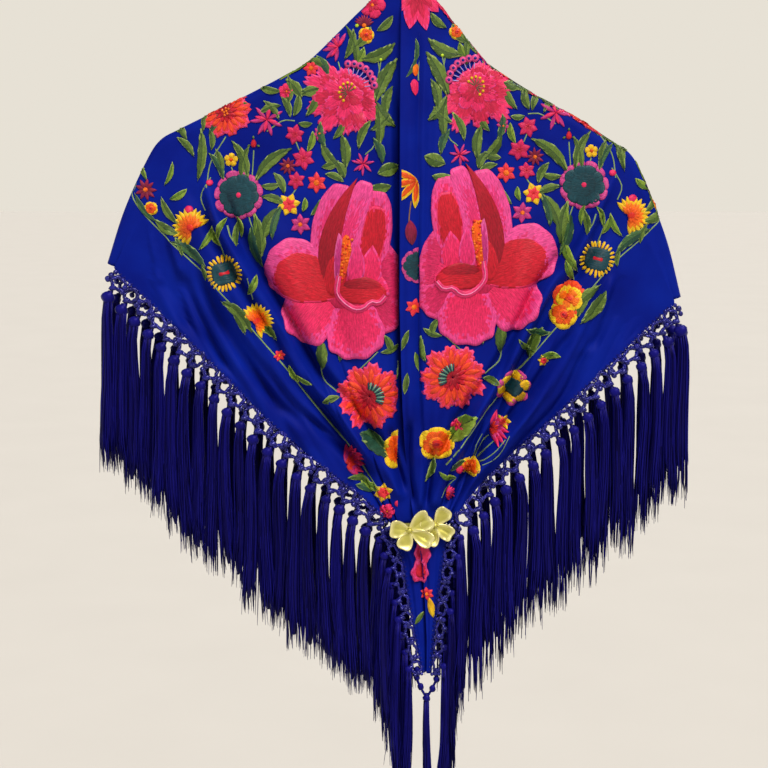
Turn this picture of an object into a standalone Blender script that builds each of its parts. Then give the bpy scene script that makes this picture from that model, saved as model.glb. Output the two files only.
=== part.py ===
"""A flamenco shawl on a clothes hanger.

The shawl is a triangle of crepe with a knotted silk fringe on its two short sides. It is folded
over the hanger's arms, its fronts overlap down the middle, and a brooch of two flowers clasps them
above the two tails.

Left and right are as seen from the front. Sizes are in millimetres: x to the right, y away from
the viewer, and drop downwards from the top of the shawl's neck. place() turns them into metres,
with the inside top of the hanger's hook at the origin.
"""

import math
from collections import namedtuple

import bmesh
import bpy
import numpy as np

MM = 0.001

# Cloth and seams
CLOTH = 1.6
SEAM_GAP = 0.3
HOOK_TO_NECK = 75.0

# The fold over the hanger, as a half tube along the crest line
ROLL_RADIUS = 9.0
ROLL_STEPS = 6
HOOK_NOTCH_ROWS = 5

# How far each panel stands out from the fold, and how soon below it
FRONT_FLARE = 22.0
BACK_FLARE = 14.0
FLARE_REACH = 120.0

# Columns run from the crest to the brooch or the hem: (from share, to share, how many)
COLUMN_BANDS = ((0.00, 0.08, 3), (0.08, 0.66, 13), (0.66, 1.00, 7))
GATHER_SHARE = 0.66
FRONT_ROWS = 11
BACK_ROWS = 9
GATHER_FADE = 0.75
GATHER_BLEND = 0.08

# The fronts' edges at the middle. Near them the left front dips back, and the right front stands
# out over it until it nears the brooch
NECKLINE_BLEND = 0.2
OVERLAP_STEP = 3.0
OVERLAP_WIDTH = 18.0
OVERLAP_BEGINS = 0.08
OVERLAP_FADE = 0.7

# Folds: at and half_width are shares of the crest, start and end shares of the way down, and lift
# is how far the fold stands out. Each takes this share of the way to rise, and this to fade
FOLD_RISE = 0.25
FOLD_FALL = 0.1
Fold = namedtuple("Fold", "at half_width lift start end")

LEFT_FOLDS = (
    Fold(0.13, 0.06, 2.5, 0.05, 0.75),
    Fold(0.30, 0.09, 3.5, 0.10, 0.90),
    Fold(0.42, 0.06, -3.5, 0.20, 1.00),
    Fold(0.53, 0.07, 6.0, 0.10, 1.00),
    Fold(0.63, 0.05, -5.0, 0.15, 1.00),
    Fold(0.73, 0.06, 6.5, 0.00, 1.00),
    Fold(0.85, 0.07, -4.5, 0.20, 1.00),
)
RIGHT_FOLDS = (
    Fold(0.07, 0.05, 3.5, 0.04, 0.95),
    Fold(0.24, 0.08, 3.0, 0.15, 0.90),
    Fold(0.38, 0.06, -3.0, 0.10, 1.00),
    Fold(0.50, 0.07, 6.0, 0.20, 1.00),
    Fold(0.62, 0.05, -5.5, 0.05, 1.00),
    Fold(0.74, 0.06, 5.5, 0.10, 1.00),
    Fold(0.87, 0.06, -4.0, 0.20, 1.00),
)
BACK_LEFT_FOLDS = (
    Fold(0.00, 0.07, 5.0, 0.10, 1.00),
    Fold(0.14, 0.08, -4.0, 0.15, 1.00),
    Fold(0.29, 0.09, 6.0, 0.10, 1.00),
    Fold(0.45, 0.08, -6.0, 0.20, 1.00),
    Fold(0.60, 0.09, 5.0, 0.05, 1.00),
    Fold(0.77, 0.08, -3.5, 0.25, 1.00),
)
BACK_RIGHT_FOLDS = (
    Fold(0.00, 0.07, 5.0, 0.10, 1.00),
    Fold(0.17, 0.09, -5.0, 0.10, 1.00),
    Fold(0.33, 0.08, 4.5, 0.20, 1.00),
    Fold(0.48, 0.09, -5.0, 0.10, 1.00),
    Fold(0.64, 0.09, 6.0, 0.15, 1.00),
    Fold(0.81, 0.07, -3.0, 0.25, 1.00),
)

# One half of the shawl. Lines are (x, drop). The crest and both hems end at the side point, where
# the fringed edge turns from the front to the back.
Side = namedtuple("Side", "sign crest neckline gather front_hem back_hem front_folds back_folds")

LEFT = Side(
    sign=-1,
    crest=((-4, 0), (-9, 1), (-16, 8), (-20, 20), (-29, 34), (-46, 50), (-90, 92), (-112, 105),
           (-135, 117), (-181, 140), (-216, 157), (-236, 168), (-250, 188), (-273, 236),
           (-291, 288)),
    neckline=((-3, 9), (2, 58), (2, 150), (3, 400), (8, 500), (14, 545)),
    gather=((14, 545), (-12, 545)),
    front_hem=((-12, 545), (-42, 515), (-122, 450), (-202, 370), (-281, 295)),
    back_hem=((0, 562), (-100, 466), (-200, 371), (-281, 295)),
    front_folds=LEFT_FOLDS,
    back_folds=BACK_LEFT_FOLDS,
)
RIGHT = Side(
    sign=1,
    crest=((4, 0), (9, 1), (17, 9), (26, 27), (54, 62), (79, 92), (102, 109), (127, 124),
           (162, 143), (198, 166), (222, 181), (236, 206), (260, 264), (276, 321)),
    neckline=((3, 9), (-2, 58), (-3, 150), (-3, 330), (0, 430), (6, 500), (12, 545)),
    gather=((12, 545), (46, 545)),
    front_hem=((46, 545), (88, 495), (158, 430), (248, 345), (267.5, 328)),
    back_hem=((0, 562), (100, 474), (200, 387), (267.5, 328)),
    front_folds=RIGHT_FOLDS,
    back_folds=BACK_RIGHT_FOLDS,
)

# Tails: each row is how wide the cloth is at that drop
TailRow = namedtuple("TailRow", "drop outer inner")

LEFT_TAIL = (
    TailRow(545.3, -12, 14),
    TailRow(565, -6, 20),
    TailRow(585, 1, 26),
    TailRow(625, 7, 28),
    TailRow(665, 14, 28),
    TailRow(700, 21, 26.5),
)
RIGHT_TAIL = (
    TailRow(545.3, 46, 12),
    TailRow(565, 44, 17),
    TailRow(585, 41, 20),
    TailRow(625, 36, 23),
    TailRow(665, 32, 25),
    TailRow(700, 29.5, 25),
)
TAIL_NET_START = 4.0
TAIL_COLUMNS = 6
TAIL_PLEAT = 2.0
TAIL_PLEATS = 1.5
TAIL_PLEAT_RISE = 40.0
TAIL_FRONT = 31.0
TAIL_STEP_BACK = 4.5

# The fringe's net. One unit spans a pitch: a hole under the header, and a knot with its tassel
FRINGE_PITCH = 18.5
NET_THICKNESS = 3.0
NET_GAP = 0.6
NET_REACH = 17.0
TAIL_NET_REACH = 10.0
HEADER = 2.5
HOLE_HALF_WIDTH = 6.6
HOLE_REACH = 13.5
NOTCH_REACH = 5.5
KNOT_WIDTH = 6.0

Spot = namedtuple("Spot", "point outward along")

# A tassel's sections: along is the distance from its knot, as a share of the tassel's length
TasselSection = namedtuple("TasselSection", "along width thickness")

TASSEL_LENGTH = 178.0
TASSEL_SECTIONS = (
    TasselSection(0.04, 9.0, 6.0),
    TasselSection(0.14, 7.5, 5.0),
    TasselSection(0.50, 10.0, 5.0),
    TasselSection(1.00, 11.5, 5.0),
)
TASSEL_SETTLE = 12.0
TASSEL_SWING = 9.0
TAIL_TASSEL_SCALE = 0.56
TAIL_TASSEL_LAYER = 5.4
LEFT_TAIL_ENDS = (-25, 6)
RIGHT_TAIL_ENDS = (60, 43)

# The single tassel at the tip of the tails
TipRow = namedtuple("TipRow", "drop width thickness")

TIP_X = 25.2
TIP_OUT = 28.5
TIP_TASSEL = (
    TipRow(700.6, 6.0, 2.4),
    TipRow(722, 4.5, 2.4),
    TipRow(733, 8.5, 7.0),
    TipRow(741, 5.5, 5.0),
    TipRow(800, 7.0, 5.0),
    TipRow(915, 8.5, 5.0),
)

# The brooch. Petals are round-ended, at an angle anticlockwise from +x as seen from the front
Petal = namedtuple("Petal", "angle length width")
Flower = namedtuple("Flower", "name x drop front seat petals")

BAR = dict(x=20.0, drop=548.0, length=40.0, height=8.0, thickness=2.0)
PETAL_THICKNESS = 1.2
PETAL_CUP = 2.6
PETAL_CUP_REACH = 22.0
BOSS_RADIUS = 2.0
FLOWER_CORE = 4.5
FLOWER_SPOKES = 36
FLOWER_RINGS = (0.0, 0.35, 0.7, 1.0)
BAR_FRONT = TAIL_FRONT + SEAM_GAP + BAR["thickness"]
FLOWERS = (
    Flower("brooch_flower_left", 7.0, 550.0, BAR_FRONT + 4.4, BAR_FRONT + SEAM_GAP, (
        Petal(175, 19, 17), Petal(249, 21, 17), Petal(333, 28, 18), Petal(37, 26, 20))),
    Flower("brooch_flower_right", 33.3, 546.0, BAR_FRONT + 1.5, BAR_FRONT + SEAM_GAP, (
        Petal(53, 21, 17), Petal(329, 20.5, 16), Petal(262, 20.5, 16), Petal(157, 15, 13))),
)

# The hanger. Its arms lie just inside the fold, and UNDERSIDE gives how deep they are: (x, depth)
ARM_HALF_THICKNESS = 6.6
ARM_FOOT_HALF_THICKNESS = 5.3
ARM_FOOT_ROUND = 3.0
ARM_END_SHARE = 0.62
NECK_CLEARANCE = 3.0
NECK_SHARE = 0.12
NECK_BLEND = 0.1
UNDERSIDE = ((0, 56), (26, 48), (60, 36), (110, 28), (200, 22), (240, 14))
HOOK_WIRE_RADIUS = 1.75
HOOK_INNER_RADIUS = 20.0
HOOK_TIP_ANGLE = 205
HOOK_START_ANGLE = -35
HOOK_ANGLE_STEP = 12
HOOK_BEND = [(11, -36.5), (5.5, -40), (1.7, -44), (0, -49)]

# Colours as linear RGB, with roughness and metallic
Finish = namedtuple("Finish", "name colour roughness metallic")

CREPE = Finish("blue crepe", (0.008, 0.02, 0.33), 0.55, 0.0)
SILK = Finish("dark blue silk", (0.010, 0.008, 0.13), 0.42, 0.0)
GOLD = Finish("pale gold metal", (0.56, 0.50, 0.17), 0.35, 1.0)
WOOD = Finish("beech", (0.52, 0.33, 0.17), 0.45, 0.0)
STEEL = Finish("steel wire", (0.60, 0.60, 0.62), 0.25, 1.0)


def clear_scene():
    for thing in list(bpy.data.objects):
        bpy.data.objects.remove(thing, do_unlink=True)


def place(point):
    """A point in millimetres (x, y, drop) as a place in the scene, in metres."""
    x, y, drop = (float(value) for value in point)
    return (x * MM, y * MM, -(HOOK_TO_NECK + drop) * MM)


def material(finish):
    found = bpy.data.materials.get(finish.name)
    if found:
        return found
    made = bpy.data.materials.new(finish.name)
    made.use_nodes = True
    shader = made.node_tree.nodes["Principled BSDF"]
    shader.inputs["Base Color"].default_value = (*finish.colour, 1.0)
    shader.inputs["Roughness"].default_value = finish.roughness
    shader.inputs["Metallic"].default_value = finish.metallic
    return made


def finish_object(name, mesh_in_progress, finish, sharp_angle=50):
    """A named object from a closed bmesh, faces outward and shaded smooth."""
    bmesh.ops.recalc_face_normals(mesh_in_progress, faces=mesh_in_progress.faces)
    data = bpy.data.meshes.new(name)
    mesh_in_progress.to_mesh(data)
    mesh_in_progress.free()
    data.shade_smooth()
    data.set_sharp_from_angle(angle=math.radians(sharp_angle))
    data.materials.append(material(finish))
    made = bpy.data.objects.new(name, data)
    bpy.context.scene.collection.objects.link(made)
    return made


def ease(share):
    """A smooth step from 0 to 1."""
    share = np.clip(share, 0.0, 1.0)
    return share * share * (3 - 2 * share)


def smooth_line(points, shares):
    """Points at these shares of the length of a smooth curve through the given points."""
    points = np.array(points, float)
    knots = np.vstack([2 * points[0] - points[1], points, 2 * points[-1] - points[-2]])
    steps = np.linspace(0, 1, 12, endpoint=False)[:, None]
    pieces = []
    for a, b, c, d in zip(knots, knots[1:], knots[2:], knots[3:]):
        cubic = 3 * b - a - 3 * c + d
        square = 2 * a - 5 * b + 4 * c - d
        pieces.append(b + 0.5 * ((c - a) * steps + square * steps**2 + cubic * steps**3))
    return along_line(np.vstack(pieces + [points[-1:]]), shares)


def along_line(points, shares):
    """Points at these shares of the length of a line with straight stretches."""
    points = np.array(points, float)
    lengths = np.linalg.norm(np.diff(points[:, [0, -1]], axis=0), axis=1)
    total = np.concatenate([[0.0], np.cumsum(lengths)])
    wanted = np.asarray(shares) * total[-1]
    return np.stack([np.interp(wanted, total, column) for column in points.T], axis=-1)


def unit(vectors):
    return vectors / np.linalg.norm(vectors, axis=-1, keepdims=True)


def column_shares():
    stretches = [np.linspace(a, b, count, endpoint=False) for a, b, count in COLUMN_BANDS]
    return np.concatenate(stretches + [[1.0]])


SHARES = column_shares()


def crest_frame(side, shares):
    """Points of the crest, and the direction from each into the cloth, square to the crest."""
    step = 0.01
    crest = smooth_line(side.crest, shares)
    ahead = smooth_line(side.crest, np.clip(shares + step, 0, 1))
    behind = smooth_line(side.crest, np.clip(shares - step, 0, 1))
    tangent = unit(ahead - behind)
    inward = side.sign * np.stack([-tangent[:, 1], tangent[:, 0]], axis=-1)
    return crest, inward


def fold_lift(folds, share, down, gathered):
    """How far the folds lift the cloth at each column and row. Gathered ones flatten out below."""
    total = np.zeros(np.broadcast(share, down).shape)
    for fold in folds:
        across = np.clip((share - fold.at) / fold.half_width, -1, 1)
        hill = 0.5 + 0.5 * np.cos(np.pi * across)
        begun = ease((down - fold.start) / FOLD_RISE)
        total += fold.lift * hill * begun * (1 - ease((down - fold.end) / FOLD_FALL))
    flat = ease((down - GATHER_FADE) / (1 - GATHER_FADE))
    held = 1 - ease((share - GATHER_SHARE) / GATHER_BLEND)
    return total * (1 - flat * held) if gathered else total


def flare(distance, most):
    return most * (1 - np.exp(-((distance / FLARE_REACH) ** 2)))


def roll_rows(side):
    """The fold over the hanger: its outer and inner points, from the front round to the back."""
    crest, inward = crest_frame(side, SHARES)
    turn = np.linspace(-math.pi / 2, math.pi / 2, ROLL_STEPS + 1)
    grids = []
    for radius in (ROLL_RADIUS, ROLL_RADIUS - CLOTH):
        down = ROLL_RADIUS - radius * np.cos(turn)
        flat = crest[None] + inward[None] * down[:, None, None]
        depth = np.broadcast_to((radius * np.sin(turn))[:, None], flat.shape[:2])
        grids.append(np.stack([flat[..., 0], depth, flat[..., 1]], axis=-1))
    return grids


def panel_rows(side, lower, rows, folds, most_flare, gathered, first_gap):
    """A panel below the fold, as (x, standing out, drop), from the fold's edge to its lower edge."""
    crest, inward = crest_frame(side, SHARES)
    top = crest + inward * ROLL_RADIUS
    reach = np.linalg.norm(lower - top, axis=1)
    down = np.linspace(0, 1, rows + 1)[:, None] * np.ones_like(SHARES)[None]
    flat = top + (lower - top) * down[..., None]
    flat[0] += inward * first_gap
    out = ROLL_RADIUS + flare(down * reach, most_flare)
    out += fold_lift(folds, SHARES[None], down, gathered)
    return np.stack([flat[..., 0], out, flat[..., 1]], axis=-1)


def front_rows(side):
    """The outer points of a front, from the fold's edge to the brooch and the hem."""
    gather = along_line(side.gather, np.clip(SHARES / GATHER_SHARE, 0, 1))
    hem_share = np.clip((SHARES - GATHER_SHARE) / (1 - GATHER_SHARE), 0, 1)
    hem = smooth_line(side.front_hem, hem_share)
    lower = np.where(SHARES[:, None] < GATHER_SHARE, gather, hem)
    points = panel_rows(side, lower, FRONT_ROWS, side.front_folds, FRONT_FLARE, True, SEAM_GAP)
    neckline_x, neckline_drop = np.array(side.neckline, float).T
    shift = np.interp(points[:, 0, 2], neckline_drop, neckline_x) - points[:, 0, 0]
    points[..., 0] += shift[:, None] * (1 - ease(SHARES / NECKLINE_BLEND))
    down = np.linspace(0, 1, len(points))[:, None]
    near_edge = 1 - ease(np.abs(points[..., 0] - points[:, :1, 0]) / OVERLAP_WIDTH)
    step = near_edge * ease(down / OVERLAP_BEGINS)
    to_brooch = ease((down - OVERLAP_FADE) / (1 - OVERLAP_FADE))
    step = step * (1 - to_brooch) if side is RIGHT else -step
    points[..., 1] = -points[..., 1] - OVERLAP_STEP * step
    return points


def back_rows(side):
    """The outer points of one half of the back, hanging straight down from the fold."""
    crest, _ = crest_frame(side, SHARES)
    hem = np.array(side.back_hem, float)
    x = crest[:, 0] * hem[-1, 0] / crest[-1, 0]
    drop = np.interp(np.abs(x), np.abs(hem[:, 0]), hem[:, 1])
    lower = np.stack([x, drop], axis=-1)
    return panel_rows(side, lower, BACK_ROWS, side.back_folds, BACK_FLARE, False, 0.0)


def add_wall(name, outer, inner, open_cells, finish):
    """A closed wall between two grids of points, leaving out the cells (row, column) named."""
    mesh = bmesh.new()
    rows, columns = outer.shape[:2]
    corners = {}

    def corner(layer, row, column):
        key = (layer, row, column)
        if key not in corners:
            corners[key] = mesh.verts.new(place((outer, inner)[layer][row, column]))
        return corners[key]

    sides = set()
    for row in range(rows - 1):
        for column in range(columns - 1):
            if (row, column) in open_cells:
                continue
            loop = [(row, column), (row + 1, column), (row + 1, column + 1), (row, column + 1)]
            mesh.faces.new([corner(0, *spot) for spot in loop])
            mesh.faces.new([corner(1, *spot) for spot in reversed(loop)])
            sides.update(zip(loop, loop[1:] + loop[:1]))
    for start, end in sides:
        if (end, start) not in sides:
            mesh.faces.new([corner(0, *end), corner(0, *start), corner(1, *start), corner(1, *end)])
    return finish_object(name, mesh, finish)


def behind(points, thickness):
    """The same points, moved away from the side that shows."""
    moved = points.copy()
    moved[..., 1] -= thickness * np.sign(points[..., 1])
    return moved


def edge_spot(edge, distance, chord, sign):
    """A place on an edge of the cloth, with its directions out of the cloth and along the edge."""
    length = np.linalg.norm(np.diff(edge[:, [0, 2]], axis=0), axis=1).sum()
    near = np.clip([distance - chord / 2, distance, distance + chord / 2], 0, length) / length
    before, here, after = along_line(edge, near)
    along = unit((after - before)[[0, 2]])
    return Spot(here, sign * np.array([-along[1], along[0]]), along)


def net_place(spot, out, aside=0.0):
    """A point of the net, this far out of the cloth and aside along its edge."""
    x, drop = spot.point[[0, 2]] + spot.outward * (NET_GAP + out) + spot.along * aside
    return np.array([x, spot.point[1], drop])


def net_corner(mesh, spot, out, aside=0.0):
    """A front and a back corner of the net at one place."""
    half = np.array([0, NET_THICKNESS / 2, 0])
    middle = net_place(spot, out, aside)
    return [mesh.verts.new(place(middle - half)), mesh.verts.new(place(middle + half))]


def add_net_faces(mesh, outline):
    """Front and back faces over the same corners."""
    mesh.faces.new([front for front, _ in outline])
    mesh.faces.new([back for _, back in reversed(outline)])


def add_net_side(mesh, a, b):
    mesh.faces.new([a[0], b[0], b[1], a[1]])


def hang(root, outward, end, along):
    """A point on a tassel that leaves its knot outward and settles until it hangs plumb."""
    settled = 1 - math.exp(-along / TASSEL_SETTLE)
    x, y = root[:2] + (np.array(end) - root[:2]) * settled
    return np.array([x, y, root[2] + along - (1 - outward[1]) * TASSEL_SETTLE * settled])


def add_tassel(mesh, ring, root, spot, end, scale):
    """A lock of four sides from a knot's rim. Its width turns from the edge's line to level."""
    level = np.array([math.copysign(1, spot.along[0]), 0])
    for section in TASSEL_SECTIONS:
        along = section.along * TASSEL_LENGTH
        middle = hang(root, spot.outward, end, along)
        turned = math.exp(-along / TASSEL_SETTLE)
        wide = unit(spot.along * turned + level * (1 - turned)) * section.width * scale / 2
        deep = section.thickness / 2
        new_ring = []
        for way, back in ((-1, -1), (1, -1), (1, 1), (-1, 1)):
            corner = middle + np.array([way * wide[0], back * deep, way * wide[1]])
            new_ring.append(mesh.verts.new(place(corner)))
        for k in range(4):
            mesh.faces.new([ring[k - 1], ring[k], new_ring[k], new_ring[k - 1]])
        ring = new_ring
    mesh.faces.new(ring)


def add_fringe(name, edge, sign, reach=NET_REACH, tail_ends=None):
    """The net and tassels along an edge of the cloth, as one body.

    edge holds (x, y, drop) points in the middle of the cloth. On a tail, tail_ends gives the x to
    which the first and last tassels settle, and the tassels are slimmer and in three layers.
    """
    mesh = bmesh.new()
    length = np.linalg.norm(np.diff(edge[:, [0, 2]], axis=0), axis=1).sum()
    units = round(length / FRINGE_PITCH)
    pitch = length / units
    shrink = reach / NET_REACH
    borders = [edge_spot(edge, i * pitch, pitch, sign) for i in range(units + 1)]
    tops = [net_corner(mesh, spot, 0.0) for spot in borders]
    notches = [net_corner(mesh, spot, NOTCH_REACH * shrink) for spot in borders]
    for i in range(units):
        spot = edge_spot(edge, (i + 0.5) * pitch, pitch, sign)
        hole_a = net_corner(mesh, spot, HEADER * shrink, -HOLE_HALF_WIDTH)
        hole_b = net_corner(mesh, spot, HEADER * shrink, HOLE_HALF_WIDTH)
        hole_c = net_corner(mesh, spot, HOLE_REACH * shrink)
        knot_a = net_corner(mesh, spot, reach, -KNOT_WIDTH / 2)
        knot_b = net_corner(mesh, spot, reach, KNOT_WIDTH / 2)
        add_net_faces(mesh, (tops[i], tops[i + 1], hole_b, hole_a))
        add_net_faces(mesh, (tops[i], hole_a, notches[i]))
        add_net_faces(mesh, (tops[i + 1], notches[i + 1], hole_b))
        add_net_faces(mesh, (notches[i], hole_a, hole_c, knot_a))
        add_net_faces(mesh, (notches[i + 1], knot_b, hole_c, hole_b))
        add_net_faces(mesh, (hole_c, knot_b, knot_a))
        add_net_side(mesh, tops[i + 1], tops[i])
        add_net_side(mesh, hole_a, hole_b)
        add_net_side(mesh, hole_b, hole_c)
        add_net_side(mesh, hole_c, hole_a)
        add_net_side(mesh, notches[i], knot_a)
        add_net_side(mesh, knot_b, notches[i + 1])
        root = net_place(spot, reach)
        end = [root[0] + TASSEL_SWING * spot.outward[0], root[1]]
        if tail_ends:
            share = i / (units - 1)
            layer = TAIL_TASSEL_LAYER * (i % 3 - 1)
            end = [tail_ends[0] + (tail_ends[1] - tail_ends[0]) * share, root[1] + layer]
        rim = [knot_a[0], knot_b[0], knot_b[1], knot_a[1]]
        add_tassel(mesh, rim, root, spot, end, TAIL_TASSEL_SCALE if tail_ends else 1.0)
    add_net_side(mesh, tops[0], notches[0])
    add_net_side(mesh, notches[-1], tops[-1])
    return finish_object(name, mesh, SILK)


def tail_rows(table, step_back):
    """The outer points of a tail: one row for each drop of its table, with soft pleats."""
    across = np.linspace(0, 1, TAIL_COLUMNS + 1)
    rows = []
    for row in table:
        x = row.outer + (row.inner - row.outer) * across
        width_left = abs(row.inner - row.outer) / abs(table[0].inner - table[0].outer)
        begun = ease((row.drop - table[0].drop) / TAIL_PLEAT_RISE)
        pleats = TAIL_PLEAT * np.sin(across * TAIL_PLEATS * 2 * math.pi) * width_left * begun
        y = -TAIL_FRONT + step_back * ease(across * 1.6) + pleats
        rows.append(np.stack([x, y, np.full_like(x, row.drop)], axis=-1))
    return np.array(rows)


def add_tip_tassel():
    """The single tassel under the tip of the tails, on the last stretch of knotted net."""
    mesh = bmesh.new()
    rings = []
    for row in TIP_TASSEL:
        ring = []
        for way, back in ((-1, -1), (1, -1), (1, 1), (-1, 1)):
            corner = (TIP_X + way * row.width / 2, back * row.thickness / 2 - TIP_OUT, row.drop)
            ring.append(mesh.verts.new(place(corner)))
        rings.append(ring)
    for ring, lower in zip(rings, rings[1:]):
        for k in range(4):
            mesh.faces.new([ring[k - 1], ring[k], lower[k], lower[k - 1]])
    mesh.faces.new(rings[0][::-1])
    mesh.faces.new(rings[-1])
    finish_object("tassel_tip", mesh, SILK)


def add_shawl():
    rolls = {side.sign: roll_rows(side) for side in (LEFT, RIGHT)}
    backs = {side.sign: back_rows(side) for side in (LEFT, RIGHT)}
    outer, inner = [], []
    for sign in (-1, 1):
        order = slice(None, None, sign)
        outer.append(np.vstack([rolls[sign][0], backs[sign][1:]])[:, order])
        inner.append(np.vstack([rolls[sign][1], behind(backs[sign][1:], CLOTH)])[:, order])
    middle = len(SHARES) - 1
    notch = {(row, middle) for row in range(HOOK_NOTCH_ROWS)}
    add_wall("back", np.hstack(outer), np.hstack(inner), notch, CREPE)

    hem_from = int(np.searchsorted(SHARES, GATHER_SHARE - 1e-6))
    for side, word in ((LEFT, "left"), (RIGHT, "right")):
        front = front_rows(side)
        add_wall(f"front_{word}", front, behind(front, CLOTH), (), CREPE)
        for panel, where in ((front, "front"), (backs[side.sign], "back")):
            first = hem_from if where == "front" else 0
            edge = behind(panel, CLOTH / 2)[-1, first:]
            add_fringe(f"fringe_{where}_{word}", edge, side.sign)


def add_tails():
    for side, table, ends, back, word in ((LEFT, LEFT_TAIL, LEFT_TAIL_ENDS, TAIL_STEP_BACK, "left"),
                                          (RIGHT, RIGHT_TAIL, RIGHT_TAIL_ENDS, 0.0, "right")):
        outer = tail_rows(table, back)
        add_wall(f"tail_{word}", outer, behind(outer, CLOTH), (), CREPE)
        edge = outer[::-1, 0] + [0, CLOTH / 2, 0]
        edge[-1, 2] += TAIL_NET_START
        add_fringe(f"fringe_tail_{word}", edge, side.sign, TAIL_NET_REACH, ends[::-1])
    add_tip_tassel()


def petal_reach(flower, angle):
    """How far the flower reaches in this direction, in degrees."""
    reach = FLOWER_CORE
    for petal in flower.petals:
        away = math.radians((angle - petal.angle + 180) % 360 - 180)
        radius = petal.width / 2
        middle = petal.length - radius
        aside = abs(middle * math.sin(away))
        if math.cos(away) > 0 and aside < radius:
            reach = max(reach, middle * math.cos(away) + math.sqrt(radius**2 - aside**2))
    return reach


def add_flower(flower):
    """A cupped metal flower, with a boss behind its middle that sits on the bar."""
    mesh = bmesh.new()
    rings = []
    for share in FLOWER_RINGS:
        front, back = [], []
        for k in range(FLOWER_SPOKES):
            angle = 360 * k / FLOWER_SPOKES
            whole = petal_reach(flower, angle)
            reach = BOSS_RADIUS + (whole - BOSS_RADIUS) * share
            x = flower.x + reach * math.cos(math.radians(angle))
            drop = flower.drop - reach * math.sin(math.radians(angle))
            y = -flower.front - PETAL_CUP * (reach / PETAL_CUP_REACH) ** 2
            back_y = -flower.seat if share == 0.0 else y + PETAL_THICKNESS
            front.append(mesh.verts.new(place((x, y, drop))))
            back.append(mesh.verts.new(place((x, back_y, drop))))
        rings.append((front, back))
    for k in range(FLOWER_SPOKES):
        for (front_a, back_a), (front_b, back_b) in zip(rings, rings[1:]):
            mesh.faces.new([front_a[k - 1], front_a[k], front_b[k], front_b[k - 1]])
            mesh.faces.new([back_a[k], back_a[k - 1], back_b[k - 1], back_b[k]])
        front, back = rings[-1]
        mesh.faces.new([front[k - 1], front[k], back[k], back[k - 1]])
    mesh.faces.new(rings[0][0])
    mesh.faces.new(rings[0][1][::-1])
    finish_object(flower.name, mesh, GOLD)


def add_brooch():
    mesh = bmesh.new()
    bmesh.ops.create_cube(mesh, size=1.0)
    size = np.array([BAR["length"], BAR["thickness"], BAR["height"]]) * MM
    centre = place((BAR["x"], -BAR_FRONT + BAR["thickness"] / 2, BAR["drop"]))
    bmesh.ops.scale(mesh, vec=size, verts=mesh.verts)
    bmesh.ops.translate(mesh, vec=centre, verts=mesh.verts)
    finish_object("brooch_bar", mesh, GOLD)
    for flower in FLOWERS:
        add_flower(flower)


def arm_line():
    """The top of the hanger's arms from end to end, just inside the fold."""
    lines = []
    for side in (LEFT, RIGHT):
        shares = SHARES[SHARES <= ARM_END_SHARE]
        crest, inward = crest_frame(side, shares)
        at_neck = 1 - ease((shares - NECK_SHARE) / NECK_BLEND)
        inset = CLOTH + SEAM_GAP + NECK_CLEARANCE * at_neck
        lines.append(crest + inward * inset[:, None])
    return np.vstack([lines[0][::-1], lines[1]])


def add_hanger():
    """Wooden arms: upright sections with round tops and bottoms, joined along the arm line."""
    top = arm_line()
    slope = np.gradient(top[:, 1], top[:, 0])
    lean = np.sqrt(1 + slope**2)
    depth = np.interp(np.abs(top[:, 0]), *np.array(UNDERSIDE).T)
    mesh = bmesh.new()
    turns = np.linspace(-math.pi / 2, math.pi / 2, 7)
    rings = []
    for (x, drop), stretch, deep in zip(top, lean, depth):
        ring = [(x, ARM_HALF_THICKNESS * math.sin(turn),
                 drop + ARM_HALF_THICKNESS * stretch * (1 - math.cos(turn))) for turn in turns]
        ring += [(x, ARM_FOOT_HALF_THICKNESS * math.sin(turn),
                  drop + deep + ARM_FOOT_ROUND * math.cos(turn)) for turn in turns[::-2]]
        rings.append([mesh.verts.new(place(point)) for point in ring])
    for before, after in zip(rings, rings[1:]):
        for k in range(len(before)):
            mesh.faces.new([before[k - 1], before[k], after[k], after[k - 1]])
    mesh.faces.new(rings[0])
    mesh.faces.new(rings[-1][::-1])
    finish_object("hanger_arms", mesh, WOOD)

    neck_top = np.interp(0, top[:, 0], top[:, 1]) + HOOK_TO_NECK
    radius = HOOK_INNER_RADIUS + HOOK_WIRE_RADIUS
    route = []
    for angle in np.radians(np.arange(HOOK_TIP_ANGLE, HOOK_START_ANGLE - 1, -HOOK_ANGLE_STEP)):
        route.append((radius * math.cos(angle), radius * math.sin(angle) - HOOK_INNER_RADIUS))
    route += HOOK_BEND
    route.append((0, SEAM_GAP - neck_top))
    curve = bpy.data.curves.new("hanger_hook", "CURVE")
    curve.dimensions = "3D"
    curve.bevel_depth = HOOK_WIRE_RADIUS * MM
    curve.bevel_resolution = 2
    curve.use_fill_caps = True
    spline = curve.splines.new("POLY")
    spline.points.add(len(route) - 1)
    for point, (x, z) in zip(spline.points, route):
        point.co = (x * MM, 0, z * MM, 1)
    curve.materials.append(material(STEEL))
    hook = bpy.data.objects.new("hanger_hook", curve)
    bpy.context.scene.collection.objects.link(hook)


clear_scene()
add_shawl()
add_tails()
add_brooch()
add_hanger()
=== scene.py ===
"""A flamenco shawl on a clothes hanger: its looks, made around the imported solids."""

import math
from collections import namedtuple

import bpy
import numpy as np
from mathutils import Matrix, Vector
from mathutils.bvhtree import BVHTree


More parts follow.
